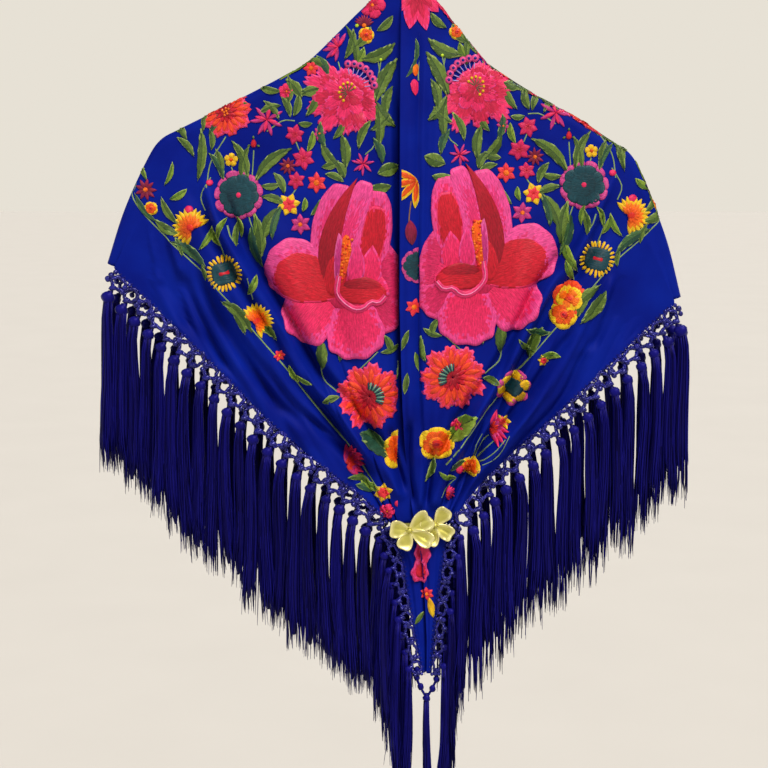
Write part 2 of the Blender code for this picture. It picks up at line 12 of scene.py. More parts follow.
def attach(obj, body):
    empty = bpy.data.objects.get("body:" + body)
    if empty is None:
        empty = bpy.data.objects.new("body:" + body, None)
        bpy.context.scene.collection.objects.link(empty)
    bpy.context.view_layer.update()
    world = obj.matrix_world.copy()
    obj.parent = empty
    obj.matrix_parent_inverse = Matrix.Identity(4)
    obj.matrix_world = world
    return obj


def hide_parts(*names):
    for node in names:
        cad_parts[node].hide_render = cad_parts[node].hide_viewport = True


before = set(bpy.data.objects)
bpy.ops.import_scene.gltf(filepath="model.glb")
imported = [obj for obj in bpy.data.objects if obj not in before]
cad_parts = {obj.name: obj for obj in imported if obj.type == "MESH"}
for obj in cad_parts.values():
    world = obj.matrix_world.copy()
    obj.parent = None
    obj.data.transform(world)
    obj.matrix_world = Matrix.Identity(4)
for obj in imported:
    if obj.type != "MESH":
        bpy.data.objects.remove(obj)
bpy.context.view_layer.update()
bpy.ops.object.select_all(action="DESELECT")


# The crepe
# A triangle of royal blue crepe, folded over the hanger's arms. The fronts cross down the middle,
# the right one on top, and the brooch gathers them. A clean thin cloth, laid on its solids' form.

MM = 0.001
HOOK_TO_NECK = 75.0
CREPE_THICKNESS = 0.9
ROLL_RADIUS = 9.0
FRONT_FLARE = 22.0
BACK_FLARE = 14.0
FLARE_REACH = 120.0
GATHER_SHARE = 0.66
GATHER_FADE = 0.75
GATHER_BLEND = 0.08
NECKLINE_BLEND = 0.2
OVERLAP_STEP = 4.5
OVERLAP_WIDTH = 18.0
OVERLAP_BEGINS = 0.08
OVERLAP_FADE = 0.7
FOLD_RISE = 0.25
FOLD_FALL = 0.1
COLUMNS = 120
FRONT_ROWS = 112
ROLL_ROWS = 12
BACK_ROWS = 60
HOOK_NOTCH_ROWS = 9
LEAST_RISE = 4.0
CREST_STEP = 0.01
CURVE_STEPS = 12
FRONT_CREASE_SCALE = 1.4
BACK_CREASE_SCALE = 2.6
LINE_CREASE_SCALE = 1.45
CREASE_STEPS = 60
CREASE_FADE = 0.16

# The neckline edge of the right front is pressed under, this far in from the edge, so the cloth
# steps up there, beside a fine groove. The left front rolls back into the dark groove beside it.
PRESSED_FOLD = 20.0
PRESSED_STEP = 3.0
PRESSED_HALF_RAMP = 1.2
PRESSED_FADE = 30.0
FINE_GROOVE_AT = 1.5
FINE_GROOVE_DEPTH = 2.6
FINE_GROOVE_WIDTH = 1.6
GROOVE_START = 3.0
GROOVE_DEPTH = 9.0
GROOVE_WIDTH = 9.0

Half = namedtuple("Half", "sign crest neckline gather front_hem back_hem front_folds back_folds "
                          "front_creases back_creases")

# The two halves of the cloth. The crest is the fold over the hanger, as x and drop like the other
# lines. A fold or a crease is a row of its place across the panel, its half width, its lift in
# millimetres, and its start and end on the way down.
LEFT = Half(
    sign=-1,
    crest=((-4, 0), (-9, 1), (-16, 8), (-20, 20), (-29, 34), (-46, 50), (-90, 92), (-112, 105),
           (-135, 117), (-181, 140), (-216, 157), (-236, 168), (-250, 188), (-273, 236),
           (-291, 288)),
    neckline=((-0.6, 9), (2, 40), (2, 150), (3, 400), (8, 500), (14, 545)),
    gather=((14, 545), (-12, 545)),
    front_hem=((-12, 545), (-42, 515), (-122, 450), (-202, 370), (-281, 295)),
    back_hem=((0, 562), (-100, 466), (-200, 371), (-281, 295)),
    front_folds=(
        (0.13, 0.06, 2.5, 0.05, 0.75), (0.30, 0.09, 3.5, 0.10, 0.90),
        (0.42, 0.06, -3.5, 0.20, 1.00), (0.53, 0.07, 6.0, 0.10, 1.00),
        (0.63, 0.05, -5.0, 0.15, 1.00), (0.73, 0.06, 6.5, 0.00, 1.00),
        (0.85, 0.07, -4.5, 0.20, 1.00),
    ),
    back_folds=(
        (0.00, 0.07, 5.0, 0.10, 1.00), (0.14, 0.08, -4.0, 0.15, 1.00),
        (0.29, 0.09, 6.0, 0.10, 1.00), (0.45, 0.08, -6.0, 0.20, 1.00),
        (0.60, 0.09, 5.0, 0.05, 1.00), (0.77, 0.08, -3.5, 0.25, 1.00),
    ),
    front_creases=(
        (0.470, 0.020, -2.8, 0.45, 1.20), (0.590, 0.020, -2.6, 0.34, 1.20),
        (0.655, 0.018, -3.4, 0.22, 1.20), (0.690, 0.018, 2.0, 0.40, 1.20),
        (0.735, 0.014, -2.0, 0.30, 0.92), (0.772, 0.015, -2.4, 0.12, 1.20),
        (0.805, 0.012, 1.4, 0.42, 1.20), (0.838, 0.014, -2.0, 0.05, 0.85),
        (0.880, 0.014, -1.7, 0.20, 1.20), (0.915, 0.013, 1.2, 0.10, 0.90),
        (0.945, 0.012, -1.2, 0.15, 1.20), (0.060, 0.030, 1.6, 0.05, 0.40),
        (0.110, 0.016, -1.8, 0.02, 0.30),
    ),
    back_creases=(
        (0.070, 0.030, -2.2, 0.20, 1.20), (0.215, 0.024, -2.4, 0.05, 0.80),
        (0.360, 0.026, 2.2, 0.30, 1.20), (0.400, 0.018, -2.0, 0.15, 0.95),
        (0.530, 0.022, -2.4, 0.25, 1.20), (0.680, 0.024, -2.6, 0.10, 1.20),
        (0.730, 0.016, 1.6, 0.35, 1.20), (0.850, 0.018, -1.8, 0.10, 1.20),
        (0.920, 0.014, -1.3, 0.20, 1.20),
    ),
)
RIGHT = Half(
    sign=1,
    crest=((4, 0), (9, 1), (17, 9), (26, 27), (54, 62), (79, 92), (102, 109), (127, 124),
           (162, 143), (198, 166), (222, 181), (236, 206), (260, 264), (276, 321)),
    neckline=((0.4, 9), (-2, 30), (-3, 150), (-3, 330), (0, 430), (6, 500), (12, 545)),
    gather=((12, 545), (46, 545)),
    front_hem=((46, 545), (88, 495), (158, 430), (248, 345), (267.5, 328)),
    back_hem=((0, 562), (100, 474), (200, 387), (267.5, 328)),
    front_folds=(
        (0.07, 0.05, 3.5, 0.04, 0.95), (0.24, 0.08, 3.0, 0.15, 0.90),
        (0.38, 0.06, -3.0, 0.10, 1.00), (0.50, 0.07, 6.0, 0.20, 1.00),
        (0.62, 0.05, -5.5, 0.05, 1.00), (0.74, 0.06, 5.5, 0.10, 1.00),
        (0.87, 0.06, -4.0, 0.20, 1.00),
    ),
    back_folds=(
        (0.00, 0.07, 5.0, 0.10, 1.00), (0.17, 0.09, -5.0, 0.10, 1.00),
        (0.33, 0.08, 4.5, 0.20, 1.00), (0.48, 0.09, -5.0, 0.10, 1.00),
        (0.64, 0.09, 6.0, 0.15, 1.00), (0.81, 0.07, -3.0, 0.25, 1.00),
    ),
    front_creases=(
        (0.430, 0.020, -2.8, 0.50, 1.20), (0.560, 0.018, -2.6, 0.40, 1.20),
        (0.625, 0.018, -3.6, 0.16, 1.20), (0.670, 0.020, 2.2, 0.40, 1.20),
        (0.720, 0.014, -2.0, 0.28, 0.95), (0.765, 0.014, -2.2, 0.10, 1.20),
        (0.800, 0.012, 1.4, 0.40, 1.20), (0.842, 0.013, -1.9, 0.12, 0.90),
        (0.890, 0.014, -1.6, 0.22, 1.20), (0.930, 0.012, -1.1, 0.10, 0.80),
        (0.130, 0.020, -1.8, 0.03, 0.45),
    ),
    back_creases=(
        (0.080, 0.028, -2.0, 0.25, 1.20), (0.250, 0.026, 2.2, 0.10, 1.20),
        (0.290, 0.018, -2.2, 0.30, 1.20), (0.400, 0.024, -2.0, 0.05, 0.85),
        (0.560, 0.022, -2.6, 0.20, 1.20), (0.710, 0.020, -2.0, 0.12, 1.20),
        (0.760, 0.016, 1.5, 0.40, 1.20), (0.880, 0.016, -1.5, 0.15, 1.20),
    ),
)

# Creases that run their own way over a front: down the flower border, across the plain hem, and
# into the brooch. Each is a row of the x and drop points that it follows, its half width and its
# lift.
CREASES = {
    -1: (
        (((-257, 238), (-254, 270), (-248, 306)), 3.6, -5.0),
        (((-249, 236), (-244, 272), (-236, 312)), 4.5, 3.2),
        (((-241, 246), (-230, 287), (-217, 330), (-206, 358)), 4.0, -5.5),
        (((-231, 246), (-219, 287), (-205, 330), (-190, 366)), 4.5, 4.0),
        (((-218, 290), (-205, 325), (-190, 360), (-168, 396)), 4.0, -5.5),
        (((-202, 288), (-184, 330), (-162, 370), (-127, 417), (-92, 452)), 5.5, -7.0),
        (((-192, 290), (-172, 327), (-149, 364), (-112, 412), (-76, 449)), 4.2, 4.5),
        (((-176, 312), (-152, 363), (-110, 417), (-67, 461), (-24, 500)), 4.8, -7.5),
        (((-197, 190), (-177, 250), (-145, 305), (-118, 350), (-96, 392), (-57, 440), (-8, 508)),
         5.5, 9.0),
        (((-206, 196), (-187, 254), (-155, 310), (-128, 356), (-106, 398), (-66, 447), (-17, 513)),
         4.2, -6.0),
        (((-186, 186), (-166, 244), (-134, 298), (-107, 343), (-84, 384), (-44, 433), (2, 500)),
         5.0, -8.0),
        (((-38, 60), (-42, 100), (-36, 150)), 5.0, -3.5),
        (((-92, 120), (-112, 170), (-120, 214)), 6.0, -3.0),
        (((-30, 462), (-14, 492), (2, 522)), 6.0, 4.0),
        (((-12, 446), (-7, 480), (3, 516)), 3.6, -6.5),
    ),
    1: (
        (((215, 184), (193, 228), (169, 276), (141, 315), (119, 356), (100, 392), (62, 452),
          (30, 520)), 5.5, 8.0),
        (((225, 196), (203, 236), (179, 284), (151, 323), (129, 364), (110, 398), (70, 460),
          (38, 522)), 4.5, -6.0),
        (((204, 182), (183, 222), (159, 268), (131, 308), (109, 350), (90, 386), (52, 448),
          (24, 512)), 4.8, -6.5),
        (((230, 284), (222, 312), (212, 342)), 3.8, -4.5),
        (((217, 298), (200, 342), (184, 376)), 4.0, -5.5),
        (((208, 296), (190, 340), (172, 382)), 4.4, 4.0),
        (((195, 312), (182, 362), (158, 418), (110, 472), (58, 528)), 4.8, -7.0),
        (((184, 322), (168, 362), (140, 412), (98, 464), (54, 520)), 4.2, 4.5),
        (((176, 336), (137, 395), (112, 430), (80, 470), (46, 524)), 4.8, -7.0),
        (((71, 82), (78, 128), (82, 178)), 5.0, -4.0),
        (((80, 96), (88, 140), (92, 182)), 5.4, 3.0),
        (((96, 110), (112, 150), (120, 200)), 6.0, -3.0),
        (((8, 436), (6, 480), (8, 506), (14, 530)), 3.6, -6.5),
        (((19, 466), (19, 500), (18, 532)), 6.0, 3.6),
        (((31, 462), (27, 500), (23, 530)), 3.6, -6.5),
        (((62, 456), (40, 500), (28, 532)), 6.5, 4.5),
        (((80, 470), (57, 508), (40, 530)), 4.0, -6.5),
    ),
}


def at(point):
    """Millimetres (x, y, drop) turned into a place in metres. Drop is down from the neck's top."""
    point = np.asarray(point, float)
    lifted = np.stack([point[..., 0], point[..., 1], -(HOOK_TO_NECK + point[..., 2])], axis=-1)
    return lifted * MM


def ease(share):
    """A share that leaves 0 and reaches 1 gently."""
    share = np.clip(share, 0.0, 1.0)
    return share * share * (3 - 2 * share)


def unit(vectors):
    """The same directions, each of length 1."""
    return vectors / np.linalg.norm(vectors, axis=-1, keepdims=True)


def along_line(points, shares):
    """Points at these shares of the length of a line, measured as seen from the front."""
    points = np.array(points, float)
    lengths = np.linalg.norm(np.diff(points[:, [0, -1]], axis=0), axis=1)
    total = np.concatenate([[0.0], np.cumsum(lengths)])
    wanted = np.asarray(shares) * total[-1]
    return np.stack([np.interp(wanted, total, column) for column in points.T], axis=-1)


def smooth_line(points, shares):
    """Points at these shares of the length of a smooth curve through the given points."""
    points = np.array(points, float)
    knots = np.vstack([2 * points[0] - points[1], points, 2 * points[-1] - points[-2]])
    steps = np.linspace(0, 1, CURVE_STEPS, endpoint=False)[:, None]
    pieces = []
    for a, b, c, d in zip(knots, knots[1:], knots[2:], knots[3:]):
        cubic = 3 * b - a - 3 * c + d
        square = 2 * a - 5 * b + 4 * c - d
        pieces.append(b + 0.5 * ((c - a) * steps + square * steps**2 + cubic * steps**3))
    return along_line(np.vstack(pieces + [points[-1:]]), shares)


def crest_frame(half, shares):
    """Points of the crest, and the direction from each into the cloth, square to the crest."""
    crest = smooth_line(half.crest, shares)
    ahead = smooth_line(half.crest, np.clip(shares + CREST_STEP, 0, 1))
    before = smooth_line(half.crest, np.clip(shares - CREST_STEP, 0, 1))
    tangent = unit(ahead - before)
    return crest, half.sign * np.stack([-tangent[:, 1], tangent[:, 0]], axis=-1)


def fold_lift(folds, share, down):
    """How far the folds push each point of a panel out."""
    total = np.zeros(np.broadcast(share, down).shape)
    for place, half_width, lift, start, end in folds:
        across = np.clip((share - place) / half_width, -1, 1)
        hill = 0.5 + 0.5 * np.cos(np.pi * across)
        begun = ease((down - start) / FOLD_RISE)
        total += lift * hill * begun * (1 - ease((down - end) / FOLD_FALL))
    return total


def crease_lift(creases, flat):
    """How far the creases push each point out. They fade towards their ends."""
    total = np.zeros(flat.shape[:2])
    for points, half_width, lift in creases:
        line = smooth_line(points, np.linspace(0, 1, CREASE_STEPS))
        run = np.gradient(line, axis=0)
        spacing = np.linalg.norm(run, axis=1)
        nearest = np.linalg.norm(flat[..., None, :] - line, axis=-1).argmin(axis=-1)
        offset = flat - line[nearest]
        ahead = unit(run)[nearest]
        away = offset[..., 0] * ahead[..., 1] - offset[..., 1] * ahead[..., 0]
        travel = (nearest + (offset * ahead).sum(axis=-1) / spacing[nearest]) / (CREASE_STEPS - 1)
        fade = ease(travel / CREASE_FADE) * ease((1 - travel) / CREASE_FADE)
        total += LINE_CREASE_SCALE * lift * fade * np.exp(-((away / half_width) ** 2))
    return total


SHARES = np.linspace(0, 1, COLUMNS)


def panel(half, lower, rows, most_flare):
    """A panel's flat points from the fold down to its lower edge, how far down each is, and how
    far it stands out."""
    crest, inward = crest_frame(half, SHARES)
    top = crest + inward * ROLL_RADIUS
    down = np.linspace(0, 1, rows + 1)[:, None] * np.ones(COLUMNS)
    flat = top + (lower - top) * down[..., None]
    distance = down * np.linalg.norm(lower - top, axis=1)
    out = ROLL_RADIUS + most_flare * (1 - np.exp(-((distance / FLARE_REACH) ** 2)))
    return flat, down, out


def front_points(half):
    """The points of a front, from the fold down to the brooch and the hem."""
    gather = along_line(half.gather, np.clip(SHARES / GATHER_SHARE, 0, 1))
    hem_share = np.clip((SHARES - GATHER_SHARE) / (1 - GATHER_SHARE), 0, 1)
    lower = np.where(SHARES[:, None] < GATHER_SHARE, gather, smooth_line(half.front_hem, hem_share))
    flat, down, out = panel(half, lower, FRONT_ROWS, FRONT_FLARE)
    flattened = ease((down - GATHER_FADE) / (1 - GATHER_FADE))
    held = 1 - ease((SHARES - GATHER_SHARE) / GATHER_BLEND)
    out += fold_lift(half.front_folds, SHARES, down) * (1 - flattened * held)
    out += FRONT_CREASE_SCALE * fold_lift(half.front_creases, SHARES, down)
    neckline_x, neckline_drop = np.array(half.neckline, float).T
    shift = np.interp(flat[:, 0, 1], neckline_drop, neckline_x) - flat[:, 0, 0]
    flat[..., 0] += shift[:, None] * (1 - ease(SHARES / NECKLINE_BLEND))
    out += crease_lift(CREASES[half.sign], flat)
    from_edge = np.abs(flat[..., 0] - flat[:, :1, 0])
    step = (1 - ease(from_edge / OVERLAP_WIDTH)) * ease(down / OVERLAP_BEGINS)
    to_brooch = ease((down - OVERLAP_FADE) / (1 - OVERLAP_FADE))
    pressed = ease(down / OVERLAP_BEGINS) * (1 - to_brooch)
    if half.sign > 0:
        beyond = from_edge - PRESSED_FOLD
        risen = ease((beyond + PRESSED_HALF_RAMP) / (2 * PRESSED_HALF_RAMP))
        fading = np.exp(-np.clip(beyond, 0, None) / PRESSED_FADE)
        pinched = np.exp(-((beyond + FINE_GROOVE_AT) / FINE_GROOVE_WIDTH) ** 2)
        out += OVERLAP_STEP * step * (1 - to_brooch)
        out += PRESSED_STEP * pressed * risen * fading
        out -= FINE_GROOVE_DEPTH * pressed * pinched
    else:
        rolled = np.exp(-(np.clip(from_edge - GROOVE_START, 0, None) / GROOVE_WIDTH) ** 2)
        out -= OVERLAP_STEP * step
        out -= GROOVE_DEPTH * pressed * rolled
    out = np.maximum(out, ROLL_RADIUS + LEAST_RISE * ease(down / OVERLAP_BEGINS))
    return np.stack([flat[..., 0], -out, flat[..., 1]], axis=-1)


def back_points(half):
    """The points of half of the back, from the fold down to its hem."""
    crest, _ = crest_frame(half, SHARES)
    hem = np.array(half.back_hem, float)
    x = crest[:, 0] * hem[-1, 0] / crest[-1, 0]
    lower = np.stack([x, np.interp(np.abs(x), np.abs(hem[:, 0]), hem[:, 1])], axis=-1)
    flat, down, out = panel(half, lower, BACK_ROWS, BACK_FLARE)
    out += fold_lift(half.back_folds, SHARES, down)
    out += BACK_CREASE_SCALE * fold_lift(half.back_creases, SHARES, down)
    return np.stack([flat[..., 0], out, flat[..., 1]], axis=-1)


def roll_points(half):
    """The points of the round fold over the hanger's arms, from the front to the back."""
    crest, inward = crest_frame(half, SHARES)
    turn = np.linspace(-math.pi / 2, math.pi / 2, ROLL_ROWS + 1)[:, None, None]
    flat = crest + inward * ROLL_RADIUS * (1 - np.cos(turn))
    depth = np.broadcast_to(ROLL_RADIUS * np.sin(turn), flat.shape[:2] + (1,))
    return np.concatenate([flat[..., :1], depth, flat[..., 1:]], axis=-1)


def new_mesh_object(name, vertices, faces, material=None):
    """A mesh object from places in metres, faces shaded smooth."""
    data = bpy.data.meshes.new(name)
    data.from_pydata([tuple(vertex) for vertex in vertices], [], faces)
    data.validate()
    data.shade_smooth()
    made = bpy.data.objects.new(name, data)
    bpy.context.scene.collection.objects.link(made)
    if material:
        data.materials.append(material)
    return made


def select_only(*pieces):
    """Select these pieces and make the last one active."""
    bpy.ops.object.select_all(action="DESELECT")
    for piece in pieces:
        piece.select_set(True)
    bpy.context.view_layer.objects.active = pieces[-1]


def apply_modifier(piece, kind, **settings):
    """Put a modifier with these settings on a piece and apply it."""
    modifier = piece.modifiers.new(kind.title(), kind)
    for setting, value in settings.items():
        setattr(modifier, setting, value)
    select_only(piece)
    bpy.ops.object.modifier_apply(modifier=modifier.name)


def grid_faces(rows, columns, first, turned):
    """Quads over a grid of points, whose first point has this index."""
    faces = []
    for row in range(rows - 1):
        for column in range(columns - 1):
            a = first + row * columns + column
            quad = (a, a + 1, a + columns + 1, a + columns)
            faces.append(quad[::-1] if turned else quad)
    return faces


def linear(hex_colour):
    """A hex colour, as seen on a screen, turned into the linear values that shaders take."""
    channels = [int(hex_colour[i:i + 2], 16) / 255 for i in (1, 3, 5)]
    return tuple(c / 12.92 if c <= 0.04045 else ((c + 0.055) / 1.055) ** 2.4 for c in channels)


def set_sockets(node, values):
    """Set the inputs of a node. An underscore in a name stands for a space."""
    for name, value in values.items():
        node.inputs[name.replace("_", " ")].default_value = value


def add_node(tree, kind, settings=None, links=None, stops=(), **values):
    """A shader node with its properties, its incoming links, its colour stops as (position, hex
    colour), and its socket values."""
    node = tree.nodes.new(kind)
    for name, value in (settings or {}).items():
        setattr(node, name, value)
    for name, source in (links or {}).items():
        tree.links.new(source, node.inputs[name])
    for k, (position, hex_colour) in enumerate(stops):
        node.color_ramp.elements[k].position = position
        node.color_ramp.elements[k].color = (*linear(hex_colour), 1)
    set_sockets(node, values)
    return node


def new_material(name, **values):
    """A material, its node tree, and its shader with these socket values."""
    made = bpy.data.materials.new(name)
    made.use_nodes = True
    shader = made.node_tree.nodes["Principled BSDF"]
    set_sockets(shader, values)
    return made, made.node_tree, shader


# Viscose crepe, dyed royal blue: the twisted yarns pucker the surface into a fine pebble, drawn
# at 1.3 mm so that it shows, and scatter the light into a soft sheen.
crepe, tree, shader = new_material(
    "viscose crepe, dyed royal blue", Roughness=0.62, Specular_IOR_Level=0.05, Sheen_Weight=0.01,
    Sheen_Roughness=0.5, Sheen_Tint=(*linear("#3a5cff"), 1))
place = add_node(tree, "ShaderNodeTexCoord")
pebble = add_node(tree, "ShaderNodeTexNoise", {}, {"Vector": place.outputs["Object"]},
                  Scale=1 / (1.3 * MM), Detail=2.0, Roughness=0.6)
cloud = add_node(tree, "ShaderNodeTexNoise", {}, {"Vector": place.outputs["Object"]},
                 Scale=1 / (55 * MM), Detail=3.0, Roughness=0.5)
dye = add_node(tree, "ShaderNodeValToRGB", {}, {"Fac": cloud.outputs["Fac"]},
               ((0.30, "#031170"), (0.72, "#051d88")))
pucker = add_node(tree, "ShaderNodeBump", {}, {"Height": pebble.outputs["Fac"]}, Strength=0.35,
                  Distance=0.25 * MM)
tree.links.new(dye.outputs["Color"], shader.inputs["Base Color"])
tree.links.new(pucker.outputs["Normal"], shader.inputs["Normal"])

fronts = {half.sign: front_points(half) for half in (LEFT, RIGHT)}
backs = {half.sign: back_points(half) for half in (LEFT, RIGHT)}
vertices = []
faces = []
grid_rows = FRONT_ROWS + 1 + ROLL_ROWS + BACK_ROWS
for half in (LEFT, RIGHT):
    column = np.vstack([fronts[half.sign][::-1], roll_points(half)[1:], backs[half.sign][1:]])
    faces += grid_faces(grid_rows, COLUMNS, len(vertices), half.sign < 0)
    vertices += list(at(column).reshape(-1, 3))
# The fronts are apart at the neckline. The back is one cloth, joined from behind the hook down.
for row in range(FRONT_ROWS + ROLL_ROWS // 2 + HOOK_NOTCH_ROWS, grid_rows - 1):
    left_edge = row * COLUMNS
    right_edge = left_edge + grid_rows * COLUMNS
    faces.append((left_edge, right_edge, right_edge + COLUMNS, left_edge + COLUMNS))
cloth = new_mesh_object("shawl_cloth", vertices, faces, crepe)
cloth_surface = BVHTree.FromObject(cloth, bpy.context.evaluated_depsgraph_get())
apply_modifier(cloth, "SOLIDIFY", thickness=CREPE_THICKNESS * MM, offset=-1)
cloth.data.shade_smooth()
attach(cloth, "root")
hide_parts("back", "front_left", "front_right")


# The tails
# The two narrow ends of the same cloth, below the brooch. They keep soft lengthwise pleats and
# taper to a point where their hems meet.

# Rows of a drop, and the x of the outer and the inner edge there.
LEFT_TAIL = (
    (545.3, -12, 14), (565, -6, 20), (585, 1, 26), (625, 7, 28), (665, 14, 28), (700, 21, 26.5),
)
RIGHT_TAIL = (
    (545.3, 46, 12), (565, 44, 17), (585, 41, 20), (625, 36, 23), (665, 32, 25), (700, 29.5, 25),
)
TAIL_FRONT = 31.0
TAIL_STEP_BACK = 4.5
TAIL_STEP_QUICKNESS = 1.6
TAIL_PLEAT = 2.0
TAIL_PLEATS = 1.5
TAIL_PLEAT_RISE = 40.0
FINE_PLEAT = 0.7
FINE_PLEAT_TURN = 21.0
FINE_PLEAT_DRIFT = 60.0
TAIL_ROWS = 60
TAIL_COLUMNS = 26


def tail_points(table, step_back):
    """The points of a tail, row by row from the brooch down."""
    across = np.linspace(0, 1, TAIL_COLUMNS + 1)
    table_drop, table_outer, table_inner = np.array(table, float).T
    points = []
    for drop in np.linspace(table_drop[0], table_drop[-1], TAIL_ROWS + 1):
        outer = np.interp(drop, table_drop, table_outer)
        inner = np.interp(drop, table_drop, table_inner)
        width_left = abs(inner - outer) / abs(table_inner[0] - table_outer[0])
        begun = ease((drop - table_drop[0]) / TAIL_PLEAT_RISE)
        pleats = TAIL_PLEAT * np.sin(across * TAIL_PLEATS * 2 * math.pi) * width_left * begun
        fine = FINE_PLEAT * np.sin(across * FINE_PLEAT_TURN + drop / FINE_PLEAT_DRIFT) * width_left
        y = -TAIL_FRONT + step_back * ease(across * TAIL_STEP_QUICKNESS) + pleats + fine
        points.append(np.stack([outer + (inner - outer) * across, y, np.full_like(y, drop)], -1))
    return np.array(points)


tails = {-1: tail_points(LEFT_TAIL, TAIL_STEP_BACK), 1: tail_points(RIGHT_TAIL, 0.0)}
for sign, word in ((-1, "left"), (1, "right")):
    grid = at(tails[sign])
    quads = grid_faces(TAIL_ROWS + 1, TAIL_COLUMNS + 1, 0, sign < 0)
    tail = new_mesh_object(f"shawl_tail_{word}", grid.reshape(-1, 3), quads, crepe)
    apply_modifier(tail, "SOLIDIFY", thickness=CREPE_THICKNESS * MM, offset=-1)
    tail.data.shade_smooth()
    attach(tail, "root")
    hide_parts(f"tail_{word}")


# The embroidery
# Flowers, leaves and stems worked in untwisted silk floss, in satin and in long and short stitch.
# Each petal or leaf is a padded patch that stands up from the crepe. The halves mirror each other,
# apart from the flowers at the foot of each border, and the back carries the same ones.

STITCH_LENGTH = 7.0
STITCH_WIDTH = 1.0
SKIRT_DEPTH = 0.45
STITCH_LIFT = 0.6
STEM_WIDTH = 1.5
PATCH_CELL = 2.25
SMALL_PATCH_CELL = 1.95
SMALL_PATCH = 50.0
LEAF_LIFT = 0.3
LEAF_RIM = 0.14
SAW_EDGE = 0.06
SAW_LENGTH = 22.0
PETAL_WAVES = 11
MIDRIB_LIFT = 0.65
MIDRIB_SHARES = (0.04, 0.35, 0.65, 0.9)
KNOT_TURN = 2.4
PEONY_BASE = 0.5
FLOWER_LIFT = 0.7
PEONY_LIFT = 0.42
MIRROR_MIDDLE = 8.5
MIRROR_RISE = 0.045
BACK_RISE = 0.01
LEFT_LIMIT = -4.5
RIGHT_LIMIT = 17.0
STRIP_LEFT = -1.2
STRIP_RIGHT = 15.8
STRIP_TOP = 75.0
STRIP_TOP_RIGHT = 34.0
RAY_START = 300.0
HEM_DEPTH = 30.0

Patch = namedtuple("Patch", "points heights uvs colours faces")
Ring = namedtuple("Ring", "count start length width kind threads lift puff scallop rim",
                  defaults=(0.0, 0.0))
floss = np.random.default_rng(11)

# Floss colours: the inner end, the outer end and the edge of a petal.
PINK = ("#a80f40", "#c02058", "#cc3676")
HOT_PINK = ("#c81a4c", "#d2265e", "#d23c80")
LIP_PINK = ("#c21c54", "#cc2c6c", "#cf3f84")
CRIMSON = ("#980c2c", "#bc1a44", "#d23468")
RED = ("#a60c20", "#b8142a", "#d02a5c")
DEEP_RED = ("#80061c", "#a00e26", "#b41a36")
MAGENTA = ("#901c5c", "#bc3078", "#cc5090")
CORAL = ("#b01418", "#d0301c", "#dc3c38")
CORAL_PINK = ("#c02028", "#d83444", "#dc4c60")
RAGGED_CORAL = ("#b81c2c", "#d43040", "#d23a70")
EMBER = ("#c83018", "#dc4420", "#d84a38")
ORANGE = ("#b83006", "#d8540c", "#e07818")
FLAME = ("#cc4408", "#e07410", "#e0a01c")
YELLOW = ("#c88c0a", "#d8b41a", "#dcc830")
TEAL = ("#0a2c38", "#0e3c48", "#10404c")
SEA_GREEN = ("#4a7a6a", "#6a9a86", "#7aa892")
TEAL_EDGE = ("#a03070", "#b83c80", "#c0508c")
WINE = ("#5c0c2c", "#84143c", "#a82a58")
LEAF = ("#3c5420", "#566e2a", "#829650")
DARK_LEAF = ("#1e4234", "#365a34", "#7a9250")
LIME = ("#4c6a1c", "#6c862a", "#92a848")
STEM = "#76905c"
MIDRIB = "#1e3a22"
LIME_KNOT = ("#9ab81e", "#b8d42c", "#c4e03c")
LOOP_PINK = ("#c03878", "#d04888", "#d86098")
CREPE_BLUE = ("#041368", "#051672", "#061a80")


def outline(kind, turn):
    """A petal's outline, from its base at 0 to its tip at 1, and across it from -0.5 to 0.5."""
    along = 0.5 - 0.5 * np.cos(turn)
    across = 0.5 * np.sin(turn)
    if kind == "leaf":
        across = across * np.abs(np.sin(turn)) ** 0.8
    elif kind == "star":
        across = across * 1.55 * np.sqrt(1 - along + 1e-9)
    elif kind == "round":
        across = across * (0.62 + 0.55 * along)
    elif kind == "tongue":
        across = np.sign(across) * np.abs(2 * across) ** 0.6 / 2
    elif kind == "square":
        along = 0.5 - 0.5 * np.sign(np.cos(turn)) * np.abs(np.cos(turn)) ** 0.45
        across = 0.5 * np.sign(np.sin(turn)) * np.abs(np.sin(turn)) ** 0.45
    return along, across


def ahead_of(x, drop, angle, ahead, aside=0.0):
    """The place this far ahead of x and drop, and aside. angle is anticlockwise from +x."""
    cosine, sine = math.cos(math.radians(angle)), math.sin(math.radians(angle))
    return x + ahead * cosine - aside * sine, drop - ahead * sine - aside * cosine


def bow(share, bend, length):
    """How far aside the middle of a bent petal lies, at this share of its length."""
    return bend * length * ((share * 2 - 1) ** 2 - 0.4)


